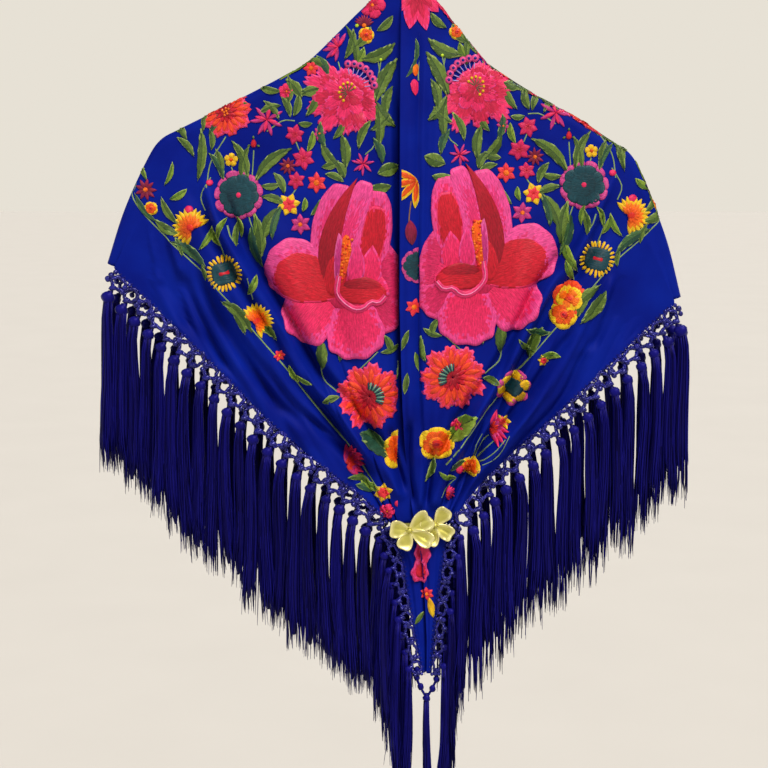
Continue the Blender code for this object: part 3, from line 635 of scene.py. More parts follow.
def add_patch(patches, x, drop, angle, length, width, threads, kind="round", lift=0.0, puff=0.5,
              bend=0.0, scallop=0.0, waves=9, rim=0.0, halves=False):
    """A stitched petal or leaf. Its base is at x and drop, and it grows towards angle."""
    cell = SMALL_PATCH_CELL if length + width < SMALL_PATCH else PATCH_CELL
    rings = int(np.clip((length + width) / 4 / cell, 2, 12))
    segments = int(np.clip(1.3 * (length + width) / cell, 7, 68))
    turn = np.linspace(0, 2 * math.pi, segments, endpoint=False)
    along, across = outline(kind, turn)
    flare = 1 + scallop * np.cos(waves * turn)
    out_along = (along - 0.5) * flare
    out_across = across * flare
    rho = np.append(np.linspace(0, 1, rings + 1)[1:], 1.0)
    if rim and rings < 5:
        rho[-3] = max(rho[-3], 1 - rim)
    local_along = np.append(0.5, 0.5 + rho[:, None] * out_along)
    local_across = np.append(0.0, rho[:, None] * out_across)
    curved = local_across * width + bow(local_along, bend, length)
    ahead = local_along * length
    points = np.stack(ahead_of(x, drop, angle, ahead, curved), axis=-1)
    ring_of = np.append(0.0, np.repeat(rho, segments))
    heights = STITCH_LIFT + lift + puff * np.sqrt(1 - np.clip(ring_of, 0, 1) ** 4 * 0.97)
    heights[-segments:] = -SKIRT_DEPTH
    uvs = np.stack([local_across * width, ahead], axis=-1)
    if halves:
        lean = np.where(local_across > 0, 0.8, -0.8)
        uvs = np.stack([ahead * 0.8 - lean * uvs[:, 0], ahead * 0.6 + uvs[:, 0] * lean], axis=-1)
    uvs = uvs + floss.uniform(0, 90, 2)
    inner, outer, edge = (np.array(linear(colour)) for colour in threads)
    faces = []
    colours = []

    def colour_at(spots, band):
        middle = np.mean([local_along[k] for k in spots])
        side = np.mean([local_across[k] for k in spots])
        from_rim = 1 - (rho[band - 1] if band else 0)
        if rim and floss.random() < 1.6 - from_rim / rim:
            found = edge
        elif halves:
            found = inner if side > 0 else outer
        else:
            blend = np.clip(middle * 1.15 + floss.uniform(-0.12, 0.12), 0, 1)
            found = inner + (outer - inner) * blend
        return found * floss.uniform(0.86, 1.12)

    for k in range(segments):
        after = (k + 1) % segments
        spots = (0, 1 + k, 1 + after)
        faces.append(spots)
        colours.append(colour_at(spots, 0))
        for band in range(len(rho) - 1):
            a = 1 + band * segments
            spots = (a + k, a + segments + k, a + segments + after, a + after)
            faces.append(spots)
            colours.append(colour_at(spots, band + 1))
    patches.append(Patch(points, heights, uvs, colours, faces))


def add_stem(patches, points, width=STEM_WIDTH, colour=STEM, lift=0.0):
    """A line of stem stitch along a smooth curve through (x, drop) points."""
    length = np.linalg.norm(np.diff(np.array(points, float), axis=0), axis=1).sum()
    count = max(4, round(length / 4))
    line = smooth_line(points, np.linspace(0, 1, count))
    along = unit(np.gradient(line, axis=0))
    across = np.stack([-along[:, 1], along[:, 0]], axis=-1)
    offsets = np.array([-0.5, -0.35, 0.0, 0.35, 0.5]) * width
    grid = line[:, None] + across[:, None] * offsets[:, None]
    heights = lift + np.tile([-SKIRT_DEPTH, 0.35, 0.55, 0.35, -SKIRT_DEPTH], count)
    travel = np.linspace(0, length, count)
    uvs = np.stack(np.broadcast_arrays(offsets, travel[:, None]), axis=-1)
    faces = grid_faces(count, 5, 0, False)
    colours = [np.array(linear(colour)) * floss.uniform(0.85, 1.12) for _ in faces]
    patches.append(Patch(grid.reshape(-1, 2), heights, uvs.reshape(-1, 2), colours, faces))


def add_leaf(patches, x, drop, angle, leaf, bend):
    """A leaf in two halves with a saw edge, and its midrib in dark stem stitch."""
    add_patch(patches, x, drop, angle, leaf.length, leaf.width, leaf.threads, kind="leaf",
              lift=LEAF_LIFT, bend=bend, scallop=SAW_EDGE if leaf.length > SAW_LENGTH else 0.0,
              waves=PETAL_WAVES, rim=LEAF_RIM, halves=True)
    spine = [ahead_of(x, drop, angle, share * leaf.length, bow(share, bend, leaf.length))
             for share in MIDRIB_SHARES]
    add_stem(patches, spine, width=0.07 * leaf.width + 0.5, colour=MIDRIB,
             lift=LEAF_LIFT + MIDRIB_LIFT)


def add_knots(patches, x, drop, spread, count, threads, size=2.4, lift=1.2):
    """French knots scattered over a small round place."""
    for k in range(count):
        away = spread * math.sqrt((k + 0.3) / count)
        turn = k * KNOT_TURN
        knot_x = x + away * math.cos(turn) - size / 2
        add_patch(patches, knot_x, drop + away * math.sin(turn), 0, size, size, threads,
                  kind="oval", lift=lift, puff=0.9)


# Rings of petals for each kind of flower, one Ring in a row, from the outermost in. Starts, lengths
# and widths are shares of the flower's radius. Lift and puff are millimetres.
FLOWERS = {
    "star": (
        (6, 0.05, 0.95, 0.52, "star", PINK, 0.0, 0.7),
        (6, 0.00, 0.45, 0.26, "star", CRIMSON, 0.5, 0.4),
    ),
    "ember star": (
        (6, 0.05, 0.95, 0.50, "star", CORAL_PINK, 0.0, 0.7),
        (1, -0.3, 0.60, 0.60, "oval", FLAME, 0.6, 0.8),
    ),
    "gold star": (
        (6, 0.05, 0.98, 0.56, "star", YELLOW, 0.0, 0.6),
        (6, 0.00, 0.66, 0.44, "star", CORAL_PINK, 0.5, 0.6),
    ),
    "plum star": (
        (6, 0.05, 0.98, 0.50, "star", MAGENTA, 0.0, 0.7),
        (1, -0.22, 0.44, 0.44, "oval", FLAME, 0.5, 0.6),
    ),
    "spiky star": (
        (9, 0.05, 0.98, 0.30, "star", WINE, 0.0, 0.6),
        (1, -0.22, 0.44, 0.44, "oval", FLAME, 0.5, 0.6),
    ),
    "lily": (
        (7, 0.05, 0.98, 0.22, "leaf", MAGENTA, 0.0, 0.7),
        (4, 0.00, 0.72, 0.20, "leaf", HOT_PINK, 0.5, 0.6),
    ),
    "button": (
        (5, 0.05, 0.90, 0.80, "round", YELLOW, 0.0, 0.7),
        (1, -0.25, 0.50, 0.50, "oval", ORANGE, 0.6, 0.8),
    ),
    "carnation": (
        (9, 0.24, 0.76, 0.50, "round", RAGGED_CORAL, 0.0, 0.6, 0.14, 0.25),
        (9, 0.20, 0.62, 0.44, "round", RAGGED_CORAL, 0.4, 0.6, 0.14, 0.25),
        (9, 0.34, 0.54, 0.17, "leaf", EMBER, 0.8, 0.6),
        (9, 0.28, 0.46, 0.15, "leaf", EMBER, 1.1, 0.6),
        (12, 0.10, 0.36, 0.13, "leaf", RED, 1.4, 0.5),
        (11, 0.02, 0.30, 0.12, "leaf", DEEP_RED, 1.7, 0.5),
    ),
    "pink fan": (
        (8, 0.10, 0.95, 0.26, "star", HOT_PINK, 0.0, 0.7),
        (7, 0.05, 0.72, 0.24, "star", MAGENTA, 0.5, 0.6),
        (5, 0.00, 0.50, 0.20, "star", CORAL, 0.9, 0.6),
    ),
    "tea rose": (
        (5, 0.10, 0.90, 0.96, "round", EMBER, 0.0, 0.7, 0.05, 0.0),
        (5, 0.08, 0.70, 0.80, "round", YELLOW, 0.6, 0.7),
        (4, 0.05, 0.58, 0.66, "round", FLAME, 1.0, 0.7),
        (1, -0.32, 0.64, 0.56, "oval", ORANGE, 1.5, 0.7),
        (1, -0.18, 0.36, 0.26, "oval", CORAL, 2.0, 0.6),
    ),
    "teal rose": (
        (7, 0.50, 0.50, 0.52, "round", TEAL_EDGE, 0.0, 0.6, 0.05, 0.0),
        (6, 0.26, 0.62, 0.58, "round", YELLOW, 0.5, 0.7),
        (1, -0.52, 1.04, 0.92, "oval", TEAL, 1.1, 0.7),
    ),
    "marigold": (
        (15, 0.30, 0.70, 0.24, "star", YELLOW, 0.0, 0.7),
        (12, 0.15, 0.60, 0.24, "star", FLAME, 0.6, 0.6),
        (9, 0.00, 0.48, 0.22, "star", ORANGE, 1.1, 0.6),
        (1, -0.2, 0.40, 0.40, "oval", CORAL, 1.5, 0.7),
    ),
    "rose": (
        (5, 0.10, 0.90, 0.96, "round", YELLOW, 0.0, 0.7),
        (5, 0.08, 0.72, 0.84, "round", ORANGE, 0.6, 0.7),
        (1, -0.46, 0.92, 0.84, "oval", FLAME, 1.2, 0.6),
        (1, -0.34, 0.68, 0.60, "oval", CORAL, 1.6, 0.6),
        (1, -0.16, 0.34, 0.26, "oval", DEEP_RED, 2.0, 0.6),
    ),
    "anemone": (
        (11, 0.62, 0.42, 0.50, "round", TEAL_EDGE, 0.0, 0.5),
        (9, 0.15, 0.74, 0.58, "round", TEAL, 0.5, 0.6),
        (1, -0.62, 1.24, 1.24, "oval", TEAL, 0.7, 0.6),
        (1, -0.13, 0.26, 0.26, "oval", HOT_PINK, 1.2, 0.7),
    ),
    "aster": (
        (24, 0.55, 0.45, 0.13, "tongue", YELLOW, 0.0, 0.6),
        (1, -0.66, 1.32, 1.24, "square", TEAL, 0.5, 0.6),
        (1, -0.32, 0.64, 0.24, "square", RED, 1.0, 0.6),
    ),
    "blossom": (
        (5, 0.08, 0.92, 0.86, "round", HOT_PINK, 0.0, 0.8, 0.06, 0.0),
        (5, 0.02, 0.55, 0.50, "round", CRIMSON, 0.7, 0.6),
        (1, -0.14, 0.28, 0.28, "oval", FLAME, 1.2, 0.6),
    ),
    "bud": (
        (1, -0.60, 1.30, 1.00, "round", RED, 0.2, 0.9),
        (3, 0.60, 0.55, 0.34, "leaf", LEAF, 0.4, 0.5),
    ),
    "dot": (
        (1, -1.0, 2.00, 1.80, "oval", HOT_PINK, 0.1, 0.9),
    ),
    "lime dot": (
        (1, -1.0, 2.00, 1.80, "oval", LIME_KNOT, 0.1, 0.9),
    ),
    "orange lily": (
        (4, 0.02, 0.98, 0.26, "leaf", YELLOW, 0.0, 0.6),
        (4, 0.06, 0.84, 0.18, "leaf", ORANGE, 0.5, 0.5),
    ),
}


def add_flower(patches, kind, x, drop, radius, turn=0.0, opening=360.0):
    """A flower of one of the kinds. An opening under 360 makes one that is seen from its side."""
    for level, row in enumerate(FLOWERS[kind]):
        ring = Ring(*row)
        step = opening / ring.count
        for k in range(ring.count):
            shift = 0.5 * (level % 2) if opening == 360 else 0
            angle = turn + step * (k + shift) + floss.uniform(-2.5, 2.5)
            reach = ring.length * radius * floss.uniform(0.93, 1.06)
            width = ring.width * radius * (1.15 if ring.count > 1 else 1.0)
            add_patch(patches, *ahead_of(x, drop, angle, ring.start * radius), angle, reach, width,
                      ring.threads, kind=ring.kind, lift=ring.lift * FLOWER_LIFT, puff=ring.puff,
                      scallop=ring.scallop, rim=ring.rim)


Petal = namedtuple("Petal", "x rise angle length width bend threads kind rim lift scallop")

# A peony seen from its side: broad lower petals, tall upper ones round a strip of stamens, and a
# cup with a red lap. Its heart is at 0, 0. The lip of the lap is a thick stem with a pale line.
PEONY = [Petal(*row) for row in (
    (10, 4, 14, 50, 76, 0.00, PINK, "round", 0.20, 0.0, 0.014),
    (26, 12, 84, 82, 32, 0.02, HOT_PINK, "tongue", 0.30, 0.4, 0.010),
    (22, -10, 322, 42, 40, 0.00, PINK, "round", 0.26, 0.4, 0.020),
    (-8, 14, 71, 94, 27, -0.02, LIP_PINK, "tongue", 0.50, 0.8, 0.008),
    (-20, 10, 80, 92, 31, -0.07, LIP_PINK, "tongue", 0.50, 1.2, 0.010),
    (-4, 6, 230, 70, 60, 0.05, HOT_PINK, "round", 0.26, 0.8, 0.030),
    (8, -2, 275, 68, 62, -0.03, HOT_PINK, "round", 0.24, 1.2, 0.030),
    (0, -22, 92, 44, 46, 0.00, PINK, "round", 0.0, 1.6, 0.010),
    (-6, 4, 161, 72, 63, 0.02, LIP_PINK, "round", 0.44, 1.6, 0.014),
    (4, -3, 163, 74, 52, 0.02, RED, "round", 0.10, 2.2, 0.012),
    (26, 22, 82, 58, 24, 0.00, RED, "tongue", 0.14, 1.2, 0.010),
    (-20, 0, 75, 111, 17, -0.09, DEEP_RED, "star", 0.0, 2.7, 0.0),
    (-10, -8, 84, 46, 24, 0.02, RED, "oval", 0.0, 2.8, 0.010),
    (12, -10, 40, 34, 44, 0.00, HOT_PINK, "round", 0.10, 2.0, 0.010),
    (25, 2, 84, 40, 20, 0.00, HOT_PINK, "star", 0.16, 2.4, 0.010),
    (-6, 2, 86, 54, 10, 0.04, MAGENTA, "leaf", 0.30, 3.2, 0.0),
    (-2, 2, 82, 50, 11, 0.03, ORANGE, "round", 0.0, 3.4, 0.0),
    (12, 4, 87, 42, 14, 0.02, LIP_PINK, "star", 0.20, 3.6, 0.008),
    (-5, -2, 357, 48, 26, -0.06, RED, "oval", 0.0, 3.6, 0.016),
    (0, 4, 358, 38, 13, -0.08, DEEP_RED, "oval", 0.0, 4.0, 0.020),
)]
LIP = ((-3, 12), (-5, -4), (2, -14), (12, -20), (20, -19), (27, -13), (35, -14), (42, -7))
STAMENS = 26


def add_peony(patches, x, drop, sign):
    """The large peony. With sign +1 it turns the other way."""
    for petal in PEONY:
        add_patch(patches, x - sign * petal.x, drop - petal.rise,
                  petal.angle if sign < 0 else 180 - petal.angle, petal.length, petal.width,
                  petal.threads, kind=petal.kind, lift=PEONY_BASE + petal.lift * PEONY_LIFT,
                  puff=0.55, bend=-sign * petal.bend, scallop=petal.scallop, waves=PETAL_WAVES,
                  rim=petal.rim)
    lip = [(x - sign * lip_x, drop - rise) for lip_x, rise in LIP]
    add_stem(patches, lip, width=6.5, colour="#d02c66", lift=2.9)
    add_stem(patches, lip, width=1.2, colour="#dc78a8", lift=3.5)
    for k in range(STAMENS):
        rise = 6 + 44 * floss.random()
        aside = 5 * rise / 50 + floss.uniform(-1, 1) * (1.5 + rise / 14)
        add_patch(patches, x - sign * aside, drop - rise, 90, 3.2, 3.0,
                  FLAME if k % 3 else CORAL, kind="oval", lift=2.2, puff=0.8)


# The crimson peony's rings, from the outermost in, as petals, length, width and floss. Its petals
# are shorter towards its arc of loops.
CRIMSON_RINGS = (
    (11, 42, 19, HOT_PINK), (9, 33, 17, CRIMSON), (7, 24, 15, HOT_PINK), (5, 15, 12, CRIMSON),
)
TOWARD_LOOPS = 52
SHORTER_THERE = 0.48
ANTHERS = 8
ANTHER_TURN = 30
STALK = 8
LOOPS = 7
LOOPS_RADIUS = 23.0
LOOPS_TURN = 15
LOOP_SIZE = 7.4
LOOP_HOLE = 3.4
SPOKE_FROM = 0.16
SPOKE_TO = 0.42


def add_crimson_peony(patches, x, drop, sign):
    """A smaller peony with saw-edged petals, widest away from its arc of loops, and gold anthers
    on dark stalks."""
    for level, (count, length, width, threads) in enumerate(CRIMSON_RINGS):
        for k in range(count):
            angle = 360 / count * (k + 0.5 * level) + floss.uniform(-6, 6)
            toward_loops = max(0.0, math.cos(math.radians(angle - TOWARD_LOOPS)))
            size = floss.uniform(0.88, 1.06) * (1 - SHORTER_THERE * toward_loops)
            add_patch(patches, x, drop, angle if sign < 0 else 180 - angle, length * size, width,
                      threads, kind="round", lift=0.4 * level, puff=0.6, scallop=0.12, waves=13,
                      rim=0.18)
    for k in range(ANTHERS):
        angle = math.radians(90 - sign * (150 - ANTHER_TURN * k))
        tip_x = x + STALK * math.cos(angle)
        tip_drop = drop - 3 - (STALK + 1) * math.sin(angle)
        add_patch(patches, x, drop - 3, math.degrees(angle), STALK, 1.3, DARK_LEAF, kind="tongue",
                  lift=1.5, puff=0.4)
        add_knots(patches, tip_x, tip_drop, 0, 1, YELLOW, size=3.0, lift=1.8)


def add_loops(patches, x, drop, sign):
    """An arc of small pink rings on pale spokes, beside the crimson peony."""
    for k in range(LOOPS):
        angle = 90 + sign * (-6 + LOOPS_TURN * k)
        middle = np.array(ahead_of(x, drop, angle, LOOPS_RADIUS))
        add_knots(patches, *middle, 0, 1, LOOP_PINK, size=LOOP_SIZE, lift=0.9)
        add_knots(patches, *middle, 0, 1, CREPE_BLUE, size=LOOP_HOLE, lift=1.5)
        spoke = [middle + share * ((x, drop) - middle) for share in (SPOKE_FROM, SPOKE_TO)]
        add_stem(patches, [spoke[0], (spoke[0] + spoke[1]) / 2, spoke[1]], width=1.1,
                 colour="#9a86c8", lift=1.0)


Bloom = namedtuple("Bloom", "kind x drop radius turn opening", defaults=(0.0, 360.0))
Leaf = namedtuple("Leaf", "x drop angle length width bend threads", defaults=(0.1, LEAF))

# The left half's flowers and leaves, as x and drop, and then what each side has of its own.
BLOOMS = [Bloom(*row) for row in (
    ("blossom", -29, 41, 12), ("lily", -62, 80, 15, 60, 230), ("rose", -35, 69, 8),
    ("spiky star", -37, 60, 10, 20, 150), ("lime dot", -21, 92, 2.2), ("lime dot", -44, 60, 1.8),
    ("carnation", -171, 141, 25, 8), ("lily", -131, 149, 16, 30), ("lily", -38, 191, 11, 10),
    ("button", -166, 187, 7, 12), ("bud", -144, 171, 6, -90), ("anemone", -159, 221, 23, 12),
    ("star", -104, 163, 10, 15), ("star", -96, 186, 11, 40), ("spiky star", -111, 193, 9, 5),
    ("star", -103, 207, 9, 25), ("ember star", -83, 209, 10, 30), ("gold star", -110, 230, 11, 10),
    ("plum star", -99, 249, 10, 33), ("dot", -187, 209, 3.4), ("plum star", -80, 162, 7, 12),
    ("blossom", -112, 122, 8, 15), ("ember star", -88, 100, 8, 5), ("carnation", -32, 416, 32, 4),
    ("spiky star", -250, 216, 11, 0), ("rose", -245, 234, 7, 40),
    ("marigold", -206, 252, 19, 24, 250), ("dot", -207, 235, 4.4), ("aster", -173, 296, 18, 10),
)]
LEFT_BLOOMS = [Bloom(*row) for row in (
    ("marigold", -142, 342, 17, -70, 240), ("ember star", -120, 376, 6, 10),
    ("rose", -1, 471, 20, 20), ("pink fan", -54, 484, 17, -50, 170),
    ("gold star", -19, 513, 10, 20), ("blossom", -15, 532, 8), ("dot", -4, 524, 3.6),
)]
RIGHT_BLOOMS = [Bloom(*row) for row in (
    ("rose", -140, 352, 14, 200), ("tea rose", -146, 336, 17, 30), ("gold star", -121, 399, 6, 10),
    ("teal rose", -92, 427, 18, 20), ("rose", -17, 485, 18, 20), ("blossom", -38, 467, 7),
    ("pink fan", -71, 470, 17, 90, 160), ("gold star", -82, 463, 8, 0), ("rose", -50, 510, 10, 40),
    ("dot", -41, 513, 4.6), ("pink fan", -27, 538, 9, 90, 160),
)]
LEAVES = [Leaf(*row) for row in (
    (-148, 205, 112, 40, 9), (-145, 206, 42, 48, 11, -0.10), (-175, 203, 99, 27, 7),
    (-197, 207, 86, 50, 9, 0.06), (-201, 183, 132, 25, 7), (-184, 178, 94, 21, 6),
    (-137, 213, 5, 19, 7), (-136, 221, -18, 24, 8, -0.08), (-138, 266, 63, 40, 11, -0.1),
    (-148, 250, -77, 42, 10, 0.08, DARK_LEAF), (-160, 244, -96, 26, 6),
    (-172, 242, -112, 22, 6, 0.1, LIME), (-242, 246, -30, 28, 9),
    (-224, 264, -36, 42, 10, -0.08, DARK_LEAF), (-236, 224, -58, 30, 7),
    (-262, 221, -52, 34, 6, 0.08, DARK_LEAF), (-174, 321, -46, 42, 11, -0.08),
    (-186, 254, -66, 18, 6, 0.1, LIME), (-150, 318, 66, 22, 7, 0.1, LIME), (-139, 118, -12, 22, 7),
    (-107, 146, 114, 22, 7), (-104, 146, 78, 22, 8), (-98, 123, 10, 19, 10),
    (-91, 180, 75, 21, 7, 0.1, LIME), (-80, 171, -53, 32, 9), (-101, 153, 0, 14, 6),
    (-24, 200, 20, 22, 13, 0.0), (-31, 214, 3, 20, 10), (-56, 207, 158, 20, 7),
    (-55, 204, 118, 18, 9), (-78, 195, 20, 18, 8), (-78, 390, 92, 30, 11, 0.0),
    (-21, 374, 22, 20, 6), (-113, 219, 118, 23, 8), (-96, 237, 80, 14, 6, 0.1, LIME),
    (-88, 241, 58, 19, 6), (-18, 146, 78, 30, 9, -0.1), (-30, 160, 40, 24, 8),
    (-72, 100, 150, 20, 7), (-80, 118, 200, 20, 8), (-46, 98, 60, 20, 8, 0.1, LIME),
    (-120, 108, 60, 18, 7, 0.1, LIME), (-118, 134, 200, 22, 7), (-150, 132, 200, 20, 6),
    (-62, 416, -160, 18, 7), (-4, 400, 80, 26, 8), (-10, 374, 110, 20, 7),
    (-28, 132, 63, 47, 13, -0.05), (-40, 94, 24, 37, 12, 0.12), (-27, 133, -52, 30, 11),
    (-42, 102, 103, 44, 7), (-24, 66, 43, 21, 8), (-30, 512, 150, 18, 7, 0.1, DARK_LEAF),
    (-226, 226, 30, 20, 7, 0.1, LIME), (-214, 280, 110, 20, 6), (-192, 304, 100, 16, 5),
    (-152, 354, 120, 24, 8), (-186, 164, 70, 34, 8, 0.1, DARK_LEAF), (-208, 168, 128, 26, 7),
    (-192, 160, 96, 26, 6), (-158, 206, 76, 34, 7, -0.08), (-172, 206, 118, 30, 7, 0.1, DARK_LEAF),
    (-128, 262, 74, 34, 9, -0.1, DARK_LEAF), (-136, 282, 98, 44, 11, 0.08),
    (-156, 262, 100, 22, 5, 0.1, LIME), (-144, 262, 84, 24, 5, 0.1, LIME), (-92, 146, 62, 26, 8),
    (-76, 176, 100, 26, 8, -0.1, DARK_LEAF), (-66, 168, 60, 22, 7), (-54, 196, 96, 34, 10, 0.08),
    (-44, 176, 66, 30, 8, -0.1), (-22, 176, 92, 42, 9, 0.06),
    (-18, 190, 110, 26, 8, 0.1, DARK_LEAF), (-96, 128, 130, 24, 10), (-84, 92, 160, 24, 8),
    (-70, 108, 120, 24, 8, 0.1, DARK_LEAF), (-46, 82, 50, 26, 9), (-54, 92, 74, 30, 8, 0.1),
    (-121, 100, 10, 30, 8, 0.1, LIME), (-110, 136, 88, 30, 7), (-118, 148, 130, 24, 6),
    (-60, 382, 96, 24, 8, 0.1, DARK_LEAF), (-12, 402, 250, 24, 7),
    (-230, 212, 70, 24, 5, 0.1, LIME), (-248, 206, 128, 20, 5, 0.1, LIME),
    (-196, 274, 62, 26, 6, 0.1, LIME),
)]
LEFT_LEAVES = [Leaf(*row) for row in (
    (-13, 477, 136, 38, 15, 0.06, DARK_LEAF), (-42, 500, -30, 24, 9, 0.1, LIME),
    (-122, 360, 140, 26, 8), (-112, 386, -60, 20, 6, 0.1, LIME), (-32, 500, 170, 22, 6),
    (-104, 396, -30, 18, 5, 0.1, LIME),
)]
RIGHT_LEAVES = [Leaf(*row) for row in (
    (-28, 485, 131, 40, 15, 0.06, LIME), (-16, 500, -70, 26, 7), (-106, 396, 114, 32, 11),
    (-158, 362, 129, 40, 12, -0.08), (-112, 392, 40, 22, 6), (-116, 396, 175, 22, 8, 0.1, LIME),
    (-36, 522, 20, 18, 6, 0.1, LIME), (-128, 372, 10, 26, 7, 0.1, DARK_LEAF),
    (-152, 310, 70, 40, 8, 0.1, LIME),
)]
RIGHT_STALKS = (
    ((-54, 502), (-56, 488), (-62, 476)), ((-56, 502), (-61, 488), (-69, 478)),
    ((-58, 503), (-67, 490), (-77, 480)), ((-60, 505), (-73, 494), (-84, 480)),
    ((-62, 507), (-78, 497), (-88, 476)), ((-36, 522), (-28, 530), (-22, 542)),
)
STEMS = (
    ((-266, 206), (-262, 226), (-244, 248), (-216, 276), (-186, 304), (-158, 336), (-124, 376),
     (-90, 420), (-56, 464), (-26, 506)),
    ((-148, 206), (-150, 236), (-140, 268)), ((-166, 194), (-162, 206)), ((-144, 178), (-146, 206)),
    ((-104, 168), (-100, 178)), ((-103, 215), (-108, 222)), ((-206, 232), (-196, 246)),
    ((-171, 165), (-186, 190), (-190, 214)), ((-131, 160), (-116, 150), (-104, 150)),
    ((-186, 204), (-196, 222), (-192, 236)), ((-24, 90), (-20, 130), (-26, 170), (-36, 182)),
    ((-170, 250), (-166, 262), (-160, 268)), ((-62, 94), (-58, 108)), ((-32, 446), (-20, 440)),
    ((-78, 362), (-79, 396), (-64, 412)), ((-180, 262), (-172, 284)), ((-150, 300), (-146, 322)),
    ((-21, 94), (-24, 110)), ((-42, 390), (-24, 372)), ((-118, 96), (-112, 112)),
)


def cut_patch(part, points, keep):
    """A patch with its points moved and only these faces left."""
    return part._replace(points=points, faces=[part.faces[k] for k in keep],
                         colours=[part.colours[k] for k in keep])


def half_of_embroidery(sign, middle=0.0, rise=0.0, limit=None):
    """The flowers of one half as patches. The right half mirrors about middle and lies higher by
    this share of its drop. limit is the x past which a fold hides the rest."""
    patches = []

    def spot(x, drop):
        return (x, drop) if sign < 0 else (2 * middle - x, drop * (1 - rise))

    def turned(angle):
        return angle if sign < 0 else 180 - angle

    for line in STEMS:
        add_stem(patches, [spot(*point) for point in line])
    for line in RIGHT_STALKS if sign > 0 else ():
        add_stem(patches, [spot(*point) for point in line], width=1.0)
    for leaf in LEAVES + (LEFT_LEAVES if sign < 0 else RIGHT_LEAVES):
        x, drop = spot(leaf.x, leaf.drop)
        add_leaf(patches, x, drop, turned(leaf.angle), leaf, -sign * leaf.bend)
    for bloom in BLOOMS + (LEFT_BLOOMS if sign < 0 else RIGHT_BLOOMS):
        x, drop = spot(bloom.x, bloom.drop)
        turn = bloom.turn if sign < 0 else 180 - bloom.turn - bloom.opening
        add_flower(patches, bloom.kind, x, drop, bloom.radius, turn, bloom.opening)
    # Knots in the heart of the upper carnation, and a fan of green stamens in the lower one.
    add_knots(patches, *spot(-171, 141), 4, 7, FLAME, lift=1.6)
    add_crimson_peony(patches, *spot(-53, 126), sign)
    add_loops(patches, *spot(-50, 119), sign)
    for k in range(13):
        angle = -25 + 9.5 * k
        add_patch(patches, *spot(*ahead_of(-33, 417, angle, 7)), turned(angle), 8.5, 1.7,
                  SEA_GREEN if k % 2 else TEAL, kind="tongue", lift=1.8, puff=0.4)
    add_peony(patches, *spot(-58, 310), sign)
    if limit is None:
        return patches
    hold = np.minimum if sign < 0 else np.maximum
    held = []
    for part in patches:
        x = hold(part.points[:, 0], limit)
        keep = [k for k, face in enumerate(part.faces) if any(x[i] != limit for i in face)]
        held.append(cut_patch(part, np.stack([x, part.points[:, 1]], axis=-1), keep))
    return held


def strip_embroidery():
    """The flowers on the right front's turned neckline edge, down the middle of the shawl."""
    patches = []
    for angle, length, width in ((262, 42, 17), (284, 44, 15), (312, 34, 18), (340, 26, 17),
                                 (238, 30, 14)):
        add_patch(patches, 12, 22, angle, length, width, HOT_PINK, kind="leaf", lift=0.2, rim=0.16)
        add_patch(patches, 13, 26, angle, length * 0.66, width * 0.5, CRIMSON, kind="leaf",
                  lift=0.6)
    for x, drop, angle, length, width in ((12, 96, 86, 24, 5), (20, 86, 70, 22, 4),
                                          (4, 110, 66, 24, 4)):
        add_patch(patches, x, drop, angle, length, width, DARK_LEAF, kind="leaf", bend=0.1,
                  halves=True, rim=LEAF_RIM)
    add_stem(patches, ((18, 88), (15, 100), (15, 112)))
    add_patch(patches, 12, 108, 92, 12, 7, FLAME, lift=0.2)
    add_patch(patches, 12, 126, 96, 15, 8, HOT_PINK, lift=0.2, scallop=0.06)
    add_flower(patches, "orange lily", 14, 206, 26, 158, 140)
    add_stem(patches, ((8, 226), (6, 244), (8, 262)), colour="#7c5a3a")
    add_patch(patches, 9, 268, 95, 24, 11, WINE, kind="leaf", lift=0.2)
    add_flower(patches, "anemone", 16, 288, 17)
    add_flower(patches, "ember star", 11, 328, 9, 20)
    for x, drop, angle in ((6, 350, 250), (12, 372, 285), (5, 392, 262)):
        add_patch(patches, x, drop, angle, 22, 6, LEAF, kind="leaf", halves=True, rim=LEAF_RIM)
    held = []
    for part in patches:
        points = part.points.copy()
        right = STRIP_TOP_RIGHT if points[:, 1].mean() < STRIP_TOP else STRIP_RIGHT
        points[:, 0] = np.clip(points[:, 0], STRIP_LEFT, right)
        keep = [k for k, face in enumerate(part.faces) if len({tuple(points[i]) for i in face}) > 2]
        held.append(cut_patch(part, points, keep))
    return held


def tail_embroidery():
    """The last flowers of the border, on the tails below the brooch."""
    patches = []
    add_patch(patches, 21, 560, 268, 26, 17, HOT_PINK, lift=0.8, scallop=0.08, waves=7, rim=0.2)
    add_patch(patches, 19, 580, 266, 25, 18, PINK, lift=1.3, scallop=0.10, waves=7, rim=0.3)
    add_patch(patches, 19, 586, 264, 14, 10, RED, lift=2.0)
    add_flower(patches, "ember star", 25, 617, 7, 40)
    add_patch(patches, 27, 620, 282, 22, 7, YELLOW, kind="leaf")
    add_patch(patches, 22, 636, 236, 16, 5, LEAF, kind="leaf", halves=True, rim=LEAF_RIM)
    return patches


